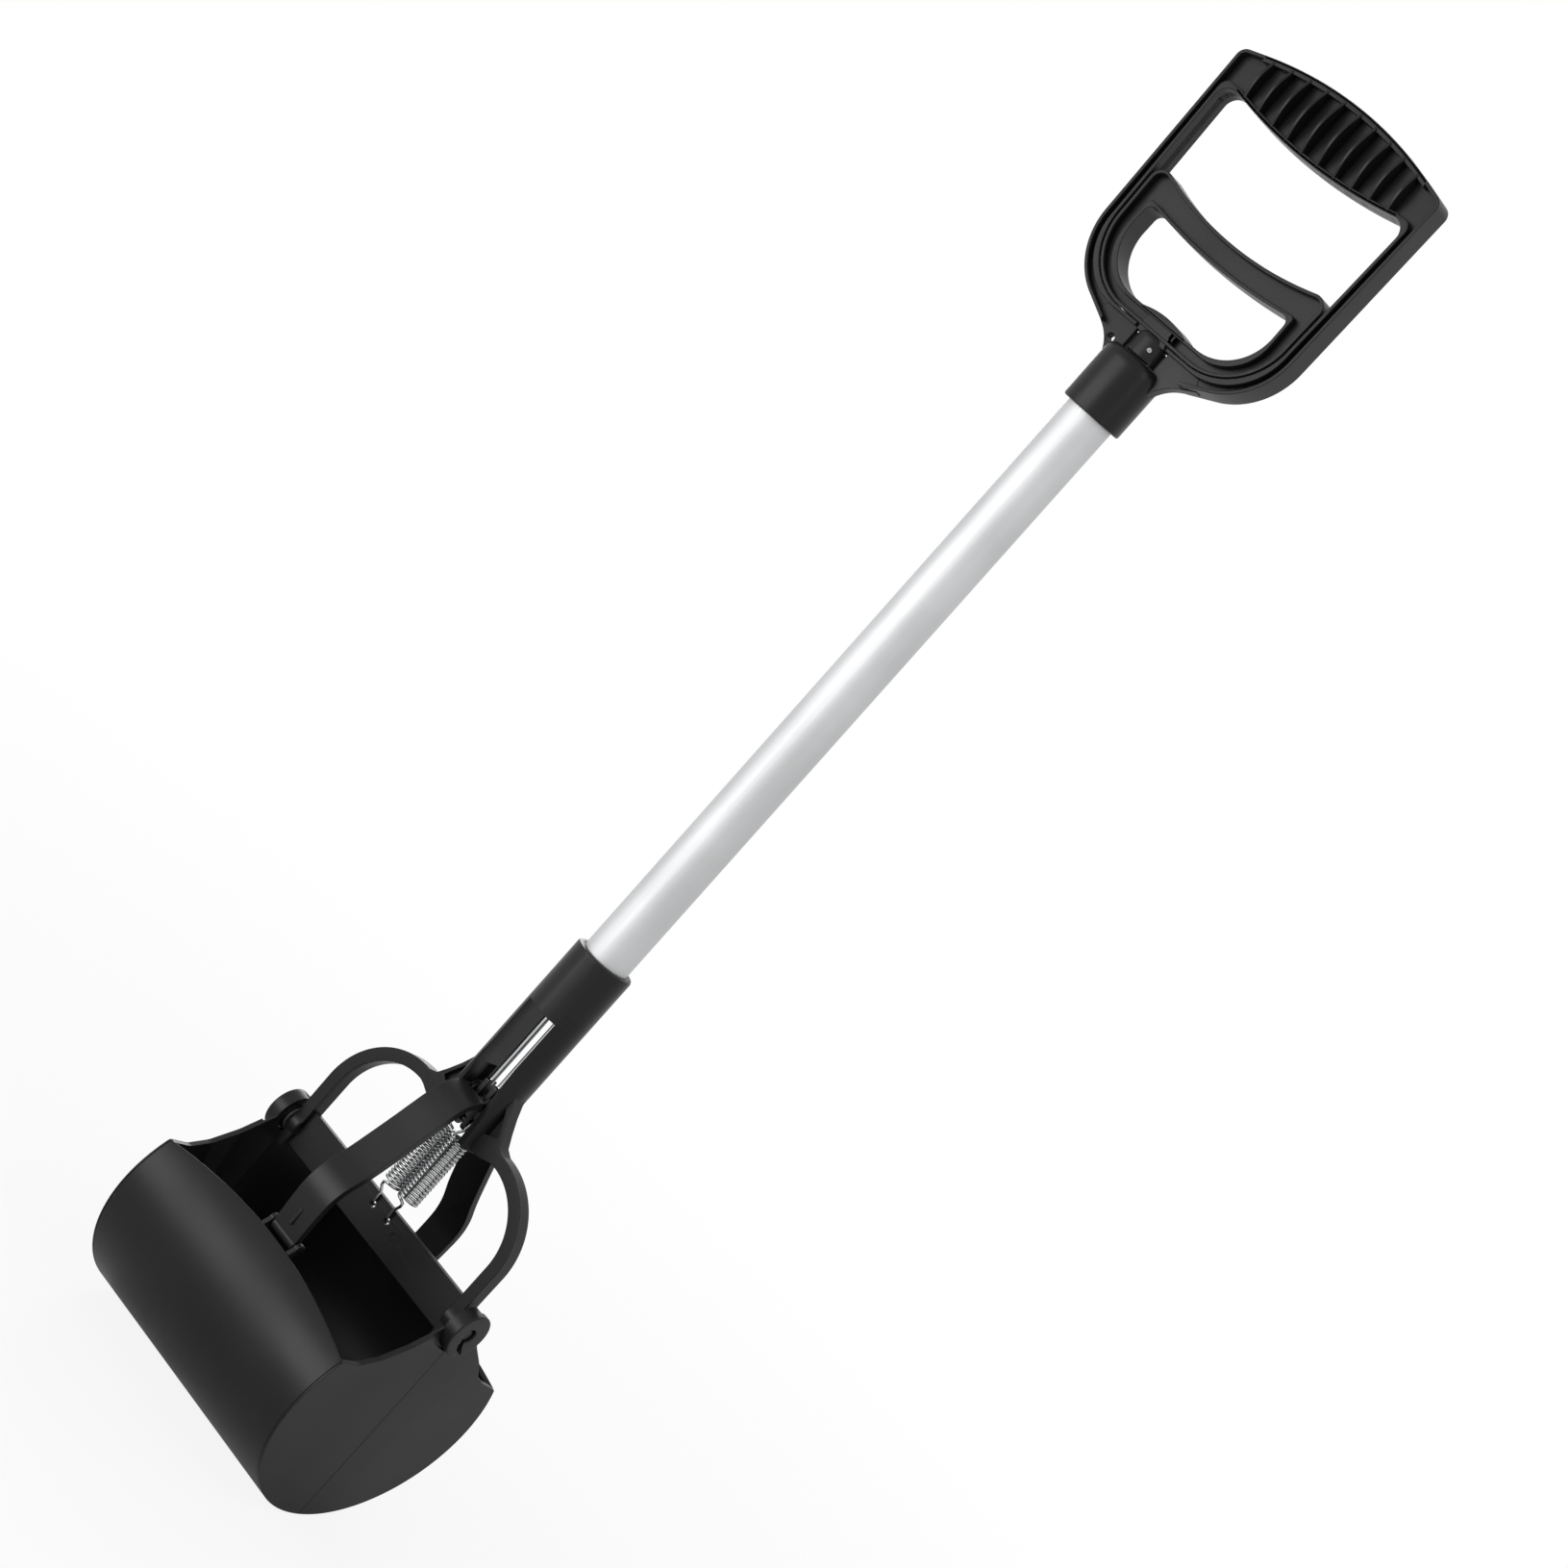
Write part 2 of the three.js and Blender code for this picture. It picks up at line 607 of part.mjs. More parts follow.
// Half of the scoop's round profile in (y, z), from its top down to the seam
function jawProfile(reachY, reachZ) {
  const points = [];
  for (let k = 0; k <= jawSteps; k += 1) {
    const angle = (jawTopAngle * (jawSteps - k)) / jawSteps - (Math.PI / 2) * (k / jawSteps);
    points.push([Math.max(reachY * Math.cos(angle), seamGap), jawCentreZ + reachZ * Math.sin(angle)]);
  }
  return points;
}

function onSide(points, side) {
  return points.map(([y, z]) => [side * y, z]);
}

// Curved wall of a jaw, open at the top and at the seam
function jawShell(side) {
  const half = jawHalfWidth;
  const skin = jawProfile(jawReachY, jawReachZ);
  const outer = [[seamGap, skin[0][1]], ...skin];
  const bowl = jawProfile(jawReachY - jawWall, jawReachZ - jawWall);
  const above = skin[0][1] + overcut;
  const inner = [[-overcut, above], [bowl[0][0], above], ...bowl, [-overcut, bowl[jawSteps][1]]];
  return alongX(onSide(outer, side), -half, half)
    .subtract(alongX(onSide(inner, side), -half - overcut, half + overcut));
}

// Everything below the arched rim
function rimLimit() {
  const half = jawHalfWidth + overcut;
  const low = jawCentreZ - jawReachZ - overcut;
  const points = [[-half, low], [half, low]];
  for (let k = 0; k <= rimSteps; k += 1) {
    const x = half * (1 - (2 * k) / rimSteps);
    points.push([x, rimMiddleZ - rimDrop * (x / jawHalfWidth) ** 2]);
  }
  return alongY(points, -farReach, farReach);
}

// Flat end of a jaw, its top edge stepping down from the hinge to the rim
function jawPlate(side, x0, x1) {
  const low = jawCentreZ - jawReachZ - overcut;
  const far = jawReachY + overcut;
  const slope = side < 0 ? frontSlope : backSlope;
  const topZ = hingeZ + rise.plateTop;
  const edgeZ = rimMiddleZ - drop.plateCorner;
  const region = rounded([
    [seamGap, topZ, 0], [slope.startY, topZ, 0], [slope.y, hingeZ - slope.drop, slope.radius],
    [0.64 * jawReachY, rimMiddleZ - drop.plateStep, 8], [0.898 * jawReachY, edgeZ, 0],
    [far, edgeZ, 0], [far, low, 0], [seamGap, low, 0],
  ]);
  const top = [[seamGap, topZ], [slope.y, topZ]];
  const whole = [...top, ...jawProfile(jawReachY, jawReachZ)];
  return alongX(onSide(whole, side), x0, x1)
    .intersect(alongX(onSide(region, side), x0 - overcut, x1 + overcut));
}

// Lug on the rim that carries an arm's pin
function rimCheek(side, x0, x1) {
  const [y, z] = rimPivot;
  const lug = circle(side * y, z, armBarrelRadius, 20);
  const foot = [[y + armBarrelRadius, z], ...cheekFoot, [y - armBarrelRadius, z]];
  return alongX(lug, x0, x1).add(alongX(onSide(foot, side), x0, x1));
}

function jaw(side) {
  const edge = jawHalfWidth - jawWall;
  let body = jawShell(side).intersect(rimLimit());
  for (const end of [-1, 1]) {
    body = body.add(jawPlate(side, ...limits(end, edge, jawHalfWidth)));
    body = body.add(rimCheek(side, ...limits(end, cheekInnerX, cheekOuterX)));
  }
  const [y, z] = rimPivot;
  const reach = cheekOuterX + overcut;
  return body.subtract(rodAlongX(rimPinRadius + touchGap, -reach, reach, side * y, z));
}

// The back jaw has a plain ear in the layer of its end plates
function backJaw() {
  let body = jaw(1);
  for (const side of [-1, 1]) {
    const [x0, x1] = limits(side, jawHalfWidth - jawWall, jawHalfWidth);
    const hole = rodAlongX(hingePinRadius + touchGap, x0 - overcut, x1 + overcut, 0, hingeZ, 24);
    body = body.add(rodAlongX(earRadius, x0, x1, 0, hingeZ, 40)).subtract(hole);
  }
  return body;
}

// The front jaw has a round lug that laps over the back jaw's ear, with a slot that snaps on the pin
function frontJaw() {
  let body = jaw(-1);
  for (const side of [-1, 1]) {
    const inner = jawHalfWidth - jawWall;
    const [r0, r1] = limits(side, jawHalfWidth - lugRecessDepth, jawHalfWidth + overcut);
    body = body.subtract(alongX(fromHinge(lugRecess), r0, r1));
    const [l0, l1] = limits(side, inner, lugOuterX);
    body = body.add(rodAlongX(lugRadius, l0, l1, 0, hingeZ, 40));
    const [e0, e1] = limits(side, inner - touchGap, lugInnerX);
    const reach = lugRadius + overcut;
    body = body.subtract(rodAlongX(earRadius + 2 * touchGap, e0, e1, 0, hingeZ, 40));
    body = body.subtract(box(e0, e1, -seamGap, reach, hingeZ - reach, hingeZ + reach));
    const [h0, h1] = limits(side, inner, lugOuterX + overcut);
    body = body.subtract(rodAlongX(hingePinRadius + touchGap, h0, h1, 0, hingeZ, 24));
    const [s0, s1] = limits(side, lugInnerX - touchGap / 2, lugOuterX + overcut);
    body = body.subtract(alongX(fromHinge(snapSlot), s0, s1));
  }
  return body;
}

// Curved strap, its outline in (y, z) on one side
function armStrap(side) {
  const curve = new THREE.SplineCurve(armPath.map(([y, z]) => new THREE.Vector2(y, z)));
  const outer = [];
  const inner = [];
  for (let k = 0; k <= armSteps; k += 1) {
    const point = curve.getPoint(k / armSteps);
    const way = curve.getTangent(k / armSteps);
    outer.push([point.x, point.y]);
    inner.unshift([point.x - way.y * armThickness, point.y + way.x * armThickness]);
  }
  const points = [...outer, ...inner].map(([y, z]) => [side * y, z]);
  return alongX(points, -armMiddleHalfWidth, armMiddleHalfWidth);
}

// Side limits of a strap: widest at its middle
function armWidth(side) {
  const half = new THREE.SplineCurve([
    new THREE.Vector2(armEndHalfWidth, rimPivot[1] - armEndRun),
    new THREE.Vector2(armEndHalfWidth + armShoulder, rimPivot[1] + armEndRun),
    new THREE.Vector2(armMiddleHalfWidth, armMiddleZ),
    new THREE.Vector2(armEndHalfWidth + armShoulder, rodPivotZ - armEndRun),
    new THREE.Vector2(armEndHalfWidth, rodPivotZ + armEndRun),
  ]).getPoints(12);
  const right = half.map((p) => [p.x, p.y]);
  const left = half.map((p) => [-p.x, p.y]).reverse();
  return alongY([...right, ...left], ...limits(side, -forkRun, rimPivot[0] + forkRun));
}

function linkArm(side, fork) {
  const [forkInner, forkOuter] = fork;
  const eye = ellipse(0, rodPivotZ, eyeHalfDepth, eyeHalfHeight, 24);
  let body = armStrap(side).add(alongX(eye, -armEndHalfWidth, armEndHalfWidth));
  body = body.intersect(armWidth(side));
  const [pivotY, pivotZ] = rimPivot;
  const end = armEndHalfWidth;
  const reach = armMiddleHalfWidth + overcut;
  body = body.add(rodAlongX(armBarrelRadius, -end, end, side * pivotY, pivotZ));
  const hole = rimPinRadius + touchGap;
  body = body.subtract(rodAlongX(hole, -reach, reach, side * pivotY, pivotZ));
  const low = rodPivotZ - forkRun;
  const high = rodPivotZ + forkRun;
  const [near, far] = limits(side, -forkRun, forkReach);
  body = body.subtract(box(-forkInner, forkInner, near, far, low, high));
  body = body.subtract(box(forkOuter, reach, near, far, low, high));
  body = body.subtract(box(-reach, -forkOuter, near, far, low, high));
  const [nearY, farY] = eyeSlotReach;
  const slot = rounded([
    [nearY, rodPivotZ + eyeSlotRise[0], eyeSlotRounding],
    [farY, rodPivotZ + eyeSlotRise[0], eyeSlotRounding],
    [farY, rodPivotZ + eyeSlotRise[1], eyeSlotRounding],
    [nearY, rodPivotZ + eyeSlotRise[1], eyeSlotRounding],
  ]);
  return body.subtract(alongX(onSide(slot, side), -reach, reach));
}

// Pin across the rods with a head at each end
function headedPin(halfLength, headX, z) {
  return rodAlongX(pivotPinRadius, -halfLength, halfLength, 0, z, 16)
    .add(rodAlongX(pivotHeadRadius, headX, halfLength, 0, z, 16))
    .add(rodAlongX(pivotHeadRadius, -halfLength, -headX, 0, z, 16));
}

function rimPin(side) {
  const [y, z] = rimPivot;
  return rodAlongX(rimPinRadius, -rimPinHalfLength, rimPinHalfLength, side * y, z);
}

function hingePin(side) {
  const [s0, s1] = limits(side, hingePinInnerX, hingePinOuterX);
  return rodAlongX(hingePinRadius, s0, s1, 0, hingeZ, 24);
}

function washer(side) {
  const [x0, x1] = limits(side, bossOuterX + touchGap, jawHalfWidth - jawWall - touchGap);
  return rodAlongX(washerRadius, x0, x1, 0, hingeZ, 28)
    .subtract(rodAlongX(hingePinRadius + touchGap, x0 - overcut, x1 + overcut, 0, hingeZ, 24));
}

// Wire path of a spring: hook over the pin, coils, then a tail through the crossbar
function springPath(side) {
  const x = side * springX;
  const path = [];
  const add = (offset, y, z) => path.push(new THREE.Vector3(x + side * offset, y, z));
  add(0, hookEnd.spread, coilTop + hookEnd.rise);
  for (let k = 0; k <= hookSteps; k += 1) {
    const angle = (Math.PI * k) / hookSteps;
    add(0, hookRadius * Math.cos(angle), springPinZ + hookRadius * Math.sin(angle));
  }
  add(0, -hookLeg.spread, coilTop + hookLeg.rise);
  add(-hookBend.side, -hookBend.spread, coilTop + hookBend.rise);
  add(-lead.side, -coilRadius + lead.inset, coilTop + lead.rise);
  for (let k = 0; k <= coilTurns * stepsPerTurn; k += 1) {
    const angle = (2 * Math.PI * k) / stepsPerTurn - Math.PI / 2;
    const z = coilTop - (coilPitch * k) / stepsPerTurn;
    add(coilRadius * Math.cos(angle), coilRadius * Math.sin(angle), z);
  }
  const coilBottom = coilTop - coilPitch * coilTurns;
  add(lead.side, -coilRadius + lead.inset, coilBottom - lead.rise);
  add(leadBend.side, -springLegY - leadBend.inset, coilBottom - leadBend.rise);
  add(0, -springLegY, coilBottom - lowerLegDrop);
  add(0, -springLegY, springHoleZ + lowerLegRise);
  for (const [inward, height] of lowerBend) {
    add(0, -springLegY + inward, springHoleZ + height);
  }
  add(0, springTailY, springHoleZ);
  return path;
}

// Sweeps a five-sided wire along a path, with closed ends
function wire(path) {
  const positions = [];
  const index = [];
  const last = path.length - 1;
  let normal = new THREE.Vector3(1, 0, 0);
  path.forEach((point, i) => {
    const into = path[Math.max(i, 1)].clone().sub(path[Math.max(i, 1) - 1]).normalize();
    const out = path[Math.min(i, last - 1) + 1].clone().sub(path[Math.min(i, last - 1)]).normalize();
    const way = into.clone().add(out).normalize();
    const stretch = 1 / Math.max(0.7, Math.cos(into.angleTo(out) / 2));
    normal = normal.clone().addScaledVector(way, -normal.dot(way)).normalize();
    const side = new THREE.Vector3().crossVectors(way, normal);
    const bend = out.clone().sub(into);
    const bendWay = bend.length() > 1e-6 ? bend.normalize() : new THREE.Vector3();
    for (let k = 0; k < wireSides; k += 1) {
      const angle = (2 * Math.PI * k) / wireSides;
      const spoke = normal.clone().multiplyScalar(Math.cos(angle)).addScaledVector(side, Math.sin(angle));
      spoke.addScaledVector(bendWay, spoke.dot(bendWay) * (stretch - 1));
      const spot = point.clone().addScaledVector(spoke, wireRadius);
      positions.push(spot.x, spot.y, spot.z);
    }
  });
  for (let i = 0; i < last; i += 1) {
    for (let k = 0; k < wireSides; k += 1) {
      const a = i * wireSides + k;
      const b = i * wireSides + ((k + 1) % wireSides);
      index.push(a, b, a + wireSides, b, b + wireSides, a + wireSides);
    }
  }
  for (let k = 1; k < wireSides - 1; k += 1) {
    index.push(0, k + 1, k);
    const end = last * wireSides;
    index.push(end, end + k, end + k + 1);
  }
  const geometry = new THREE.BufferGeometry();
  geometry.setAttribute('position', new THREE.Float32BufferAttribute(positions, 3));
  geometry.setIndex(index);
  geometry.computeVertexNormals();
  return geometry;
}

// Least distance between stretches of the wire that are more than half a turn apart
function leastGap(path) {
  const dense = [];
  for (let i = 0; i < path.length - 1; i += 1) {
    for (let k = 0; k < 6; k += 1) {
      dense.push(path[i].clone().lerp(path[i + 1], k / 6));
    }
  }
  let run = 0;
  const along = dense.map((p, i) => {
    run += i === 0 ? 0 : p.distanceTo(dense[i - 1]);
    return run;
  });
  let least = Infinity;
  for (let i = 0; i < dense.length; i += 1) {
    for (let j = i + 1; j < dense.length; j += 1) {
      if (along[j] - along[i] > 6 * wireRadius) {
        least = Math.min(least, dense[i].distanceTo(dense[j]) - 2 * wireRadius);
      }
    }
  }
  return least;
}

function spring(side) {
  const path = springPath(side);
  console.log('spring', side, 'least gap to itself', leastGap(path).toFixed(2), 'mm');
  return wire(path);
}

addNode('handle_frame', handleFrame(), plastic);
addNode('trigger', squeezeRing(), plastic);
addNode('stem_pin', rodAlongX(stemPinRadius, -stemPinHalfLength, stemPinHalfLength, 0, stemPinZ), steel);
addNode('tube', tube(), aluminium);
addNode('rod_guide_upper', rodGuide(upperGuideZ), nylon);
addNode('rod_guide_lower', rodGuide(lowerGuideZ), nylon);
addNode('pull_rod_left', pullRod(-1), steel);
addNode('pull_rod_right', pullRod(1), steel);
addNode('lower_housing', lowerHousing(), plastic);
addNode('arm_pivot_pin', headedPin(pivotPinHalfLength, pivotHeadX, rodPivotZ), steel);
addNode('spring_pin', headedPin(springPinHalfLength, springHeadX, springPinZ), steel);
addNode('spring_left', spring(-1), steel);
addNode('spring_right', spring(1), steel);
addNode('front_arm', linkArm(-1, frontForkX), plastic);
addNode('back_arm', linkArm(1, backForkX), plastic);
addNode('front_rim_pin', rimPin(-1), steel);
addNode('back_rim_pin', rimPin(1), steel);
addNode('front_jaw', frontJaw(), plastic);
addNode('back_jaw', backJaw(), plastic);
addNode('pivot_pin_left', hingePin(-1), steel);
addNode('pivot_pin_right', hingePin(1), steel);
addNode('pivot_washer_left', washer(-1), nylon);
addNode('pivot_washer_right', washer(1), nylon);

export default group;
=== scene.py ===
import bpy
import math
from mathutils import Matrix, Vector


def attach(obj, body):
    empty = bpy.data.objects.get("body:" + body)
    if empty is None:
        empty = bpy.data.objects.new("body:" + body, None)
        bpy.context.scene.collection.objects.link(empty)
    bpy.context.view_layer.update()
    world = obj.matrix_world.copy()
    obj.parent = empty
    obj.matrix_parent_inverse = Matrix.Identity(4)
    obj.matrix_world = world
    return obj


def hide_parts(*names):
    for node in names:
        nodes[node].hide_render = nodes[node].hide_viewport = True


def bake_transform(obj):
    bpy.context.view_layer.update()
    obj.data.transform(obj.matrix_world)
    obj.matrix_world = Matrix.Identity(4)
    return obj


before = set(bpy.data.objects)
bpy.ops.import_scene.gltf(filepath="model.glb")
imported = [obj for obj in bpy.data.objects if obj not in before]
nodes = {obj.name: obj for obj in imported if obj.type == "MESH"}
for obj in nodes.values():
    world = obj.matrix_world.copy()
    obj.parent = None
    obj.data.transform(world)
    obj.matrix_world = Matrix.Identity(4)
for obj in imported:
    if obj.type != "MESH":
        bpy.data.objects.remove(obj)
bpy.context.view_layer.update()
print("frame loaded")

# lengths are in millimetres until mm turns them into metres
mm = 0.001
hingeZ = -586.0
gripHalfDepth = 6.15


def clearSelection():
    if bpy.context.mode != "OBJECT":
        bpy.ops.object.mode_set(mode="OBJECT")
    bpy.ops.object.select_all(action="DESELECT")


def pick(obj):
    clearSelection()
    obj.select_set(True)
    bpy.context.view_layer.objects.active = obj


def applyAll(obj):
    pick(obj)
    for modifier in list(obj.modifiers):
        bpy.ops.object.modifier_apply(modifier=modifier.name)


def settle(obj, angle=34):
    pick(obj)
    bpy.ops.object.transform_apply(location=True, rotation=True, scale=True)
    bpy.ops.object.mode_set(mode="EDIT")
    bpy.ops.mesh.select_all(action="SELECT")
    bpy.ops.mesh.remove_doubles(threshold=0.000004)
    bpy.ops.mesh.delete_loose()
    bpy.ops.mesh.select_all(action="SELECT")
    bpy.ops.mesh.normals_make_consistent(inside=False)
    bpy.ops.object.mode_set(mode="OBJECT")
    bpy.ops.object.shade_smooth_by_angle(angle=math.radians(angle))


# large flat faces keep their own normal, so they shade flat beside rounded edges
def flattenShading(obj):
    modifier = obj.modifiers.new("flat", "WEIGHTED_NORMAL")
    modifier.keep_sharp = True
    modifier.weight = 90
    applyAll(obj)


def turnOver(obj):
    pick(obj)
    bpy.ops.object.mode_set(mode="EDIT")
    bpy.ops.mesh.select_all(action="SELECT")
    bpy.ops.mesh.flip_normals()
    bpy.ops.object.mode_set(mode="OBJECT")


def joinAll(name, parts):
    clearSelection()
    for part in parts:
        part.select_set(True)
    bpy.context.view_layer.objects.active = parts[0]
    bpy.ops.object.join()
    parts[0].name = name
    parts[0].data.name = name
    return parts[0]


def cut(obj, cutter):
    modifier = obj.modifiers.new("cut", "BOOLEAN")
    modifier.operation = "DIFFERENCE"
    modifier.solver = "EXACT"
    modifier.object = cutter
    applyAll(obj)
    bpy.data.objects.remove(cutter)


def roundEdges(obj, width, segments=3, angle=34, clamp=True):
    modifier = obj.modifiers.new("edges", "BEVEL")
    modifier.width = width * mm
    modifier.segments = segments
    modifier.limit_method = "ANGLE"
    modifier.angle_limit = math.radians(angle)
    modifier.use_clamp_overlap = clamp
    applyAll(obj)


# gives an open sheet its thickness, on the inner side of its faces
def thicken(obj, thickness, even=False):
    modifier = obj.modifiers.new("thick", "SOLIDIFY")
    modifier.thickness = thickness * mm
    modifier.offset = -1
    modifier.use_even_offset = even
    applyAll(obj)


# turns every corner (a, b, radius) of a counter-clockwise list into an arc
def arcs(corners, stepLength=0.7, fewest=4, most=60):
    points = []
    count = len(corners)
    for i, (a, b, radius) in enumerate(corners):
        here = Vector((a, b))
        if radius == 0:
            points.append(here)
            continue
        toBefore = (Vector(corners[i - 1][:2]) - here).normalized()
        toAfter = (Vector(corners[(i + 1) % count][:2]) - here).normalized()
        half = math.acos(max(-1, min(1, toBefore.dot(toAfter)))) / 2
        centre = here + (toBefore + toAfter).normalized() * (radius / math.sin(half))
        start = here + toBefore * (radius / math.tan(half)) - centre
        end = here + toAfter * (radius / math.tan(half)) - centre
        sweep = math.atan2(start.x * end.y - start.y * end.x, start.dot(end))
        steps = min(most, max(fewest, int(abs(sweep) * radius / stepLength)))
        for k in range(steps + 1):
            turn = sweep * k / steps
            c, s = math.cos(turn), math.sin(turn)
            points.append(centre + Vector((start.x * c - start.y * s, start.x * s + start.y * c)))
    return points


# moves the edges of a corner list inward and keeps the roundings parallel
def inset(corners, distance, leastRadius=0.2):
    moved = []
    count = len(corners)
    for i, (a, b, radius) in enumerate(corners):
        before, after = corners[i - 1], corners[(i + 1) % count]
        inA = Vector((a - before[0], b - before[1])).normalized()
        inB = Vector((after[0] - a, after[1] - b)).normalized()
        turn = inA.x * inB.y - inA.y * inB.x
        spread = distance / (1 + inA.dot(inB))
        rounding = max(radius - math.copysign(distance, turn), leastRadius) if radius else 0
        moved.append((a + spread * (-inA.y - inB.y), b + spread * (inA.x + inB.x), rounding))
    return moved


# a right-hand list of corners, the one in the middle, and the same list mirrored to the left
def bothSides(right, top):
    return list(right) + [top] + [(-a, b, r) for a, b, r in reversed(right)]


def ringPoints(a, b, radius, steps=48):
    turns = [2 * math.pi * k / steps for k in range(steps)]
    return [Vector((a + radius * math.cos(t), b + radius * math.sin(t))) for t in turns]


# the points of an outline as they are, or mirrored where side is -1
def onSide(side, pairs):
    return [Vector((side * a, b)) for a, b in pairs]


# which axes the two drawing directions and the thickness of a plate follow
planes = {
    "xz": Matrix(((1, 0, 0, 0), (0, 0, -1, 0), (0, 1, 0, 0), (0, 0, 0, 1))),
    "yz": Matrix(((0, 0, 1, 0), (1, 0, 0, 0), (0, 1, 0, 0), (0, 0, 0, 1))),
    "xy": Matrix.Identity(4),
}


# outlines run counter-clockwise and holes clockwise, so that the rounding goes the right way
def wound(points, hole):
    area = sum(points[i - 1][0] * p[1] - p[0] * points[i - 1][1] for i, p in enumerate(points))
    return list(reversed(points)) if (area > 0) == hole else list(points)


# a flat outline with holes, given a thickness and rounded edges; low and high are its two faces
def plate(name, outlines, plane, low, high, edge=0.35):
    clearSelection()
    curve = bpy.data.curves.new(name, "CURVE")
    curve.dimensions = "2D"
    curve.fill_mode = "BOTH"
    curve.extrude = ((high - low) / 2 - edge) * mm
    curve.bevel_depth = edge * mm
    curve.bevel_resolution = 2
    curve.offset = -edge * mm
    for i, outline in enumerate(outlines):
        outline = wound(outline, i > 0)
        spline = curve.splines.new("POLY")
        spline.points.add(len(outline) - 1)
        for spot, p in zip(spline.points, outline):
            spot.co = (p[0] * mm, p[1] * mm, 0, 1)
        spline.use_cyclic_u = True
    obj = bpy.data.objects.new(name, curve)
    bpy.context.scene.collection.objects.link(obj)
    pick(obj)
    bpy.ops.object.convert(target="MESH")
    obj = bpy.context.active_object
    middle = (low + high) / 2 * mm
    if plane == "xz":
        middle = -middle  # the drawing's third direction is -Y there
    obj.data.transform(planes[plane] @ Matrix.Translation((0, 0, middle)))
    settle(obj)
    return obj


# a turned piece: one point is drawn along a closed profile of (radius, height), then spun round the axis
def turned(name, profile, axis="z", at=(0, 0, 0), steps=96):
    clearSelection()
    bpy.ops.mesh.primitive_plane_add(size=mm, location=(0, 0, 0))
    obj = bpy.context.active_object
    obj.name = name
    bpy.ops.object.mode_set(mode="EDIT")
    bpy.ops.mesh.select_all(action="SELECT")
    bpy.ops.mesh.merge(type="CENTER")
    bpy.ops.transform.translate(value=(profile[0][0] * mm, 0, profile[0][1] * mm))
    for here, after in zip(profile, profile[1:] + profile[:1]):
        step = ((after[0] - here[0]) * mm, 0, (after[1] - here[1]) * mm)
        bpy.ops.mesh.extrude_region_move(TRANSFORM_OT_translate={"value": step})
    bpy.ops.mesh.select_all(action="SELECT")
    bpy.ops.mesh.remove_doubles(threshold=0.000002)
    bpy.ops.mesh.select_all(action="SELECT")
    bpy.ops.mesh.spin(steps=steps, angle=2 * math.pi, center=(0, 0, 0), axis=(0, 0, 1))
    bpy.ops.object.mode_set(mode="OBJECT")
    if axis == "x":
        obj.data.transform(Matrix.Rotation(math.pi / 2, 4, "Y"))
    obj.data.transform(Matrix.Translation([c * mm for c in at]))
    settle(obj)
    return obj


def rangeNode(tree, fromSpan, toSpan):
    node = tree.nodes.new("ShaderNodeMapRange")
    for socket, value in zip(("From Min", "From Max", "To Min", "To Max"), (*fromSpan, *toSpan)):
        node.inputs[socket].default_value = value
    return node


def noiseNode(tree, vector, values):
    node = tree.nodes.new("ShaderNodeTexNoise")
    tree.links.new(vector, node.inputs["Vector"])
    for socket, value in values.items():
        node.inputs[socket].default_value = value
    return node


def mathNode(tree, operation, *sources):
    node = tree.nodes.new("ShaderNodeMath")
    node.operation = operation
    for place, source in enumerate(sources):
        tree.links.new(source, node.inputs[place])
    return node.outputs["Value"]


def newMaterial(name):
    material = bpy.data.materials.new(name)
    material.use_nodes = True
    tree = material.node_tree
    return material, tree, tree.nodes["Principled BSDF"]


def addBump(tree, shader, height, strength, depth):
    bump = tree.nodes.new("ShaderNodeBump")
    bump.inputs["Strength"].default_value = strength
    bump.inputs["Distance"].default_value = depth * mm
    tree.links.new(height, bump.inputs["Height"])
    tree.links.new(bump.outputs["Normal"], shader.inputs["Normal"])


skinSettings = {
    "grain": {"Detail": 3}, "cloud": {"Scale": 22, "Detail": 4}, "flow": {"Scale": 9, "Distortion": 1.2},
    "cloudSpan": (0.35, 0.65), "toneSpan": (0.9, 1.1), "flowSpan": (0.3, 0.7), "roughSpan": (-0.05, 0.07),
    "edgeSpan": (0.53, 0.62), "rubbedColor": (0.13, 0.13, 0.135, 1), "bumpDepth": 0.2,
}


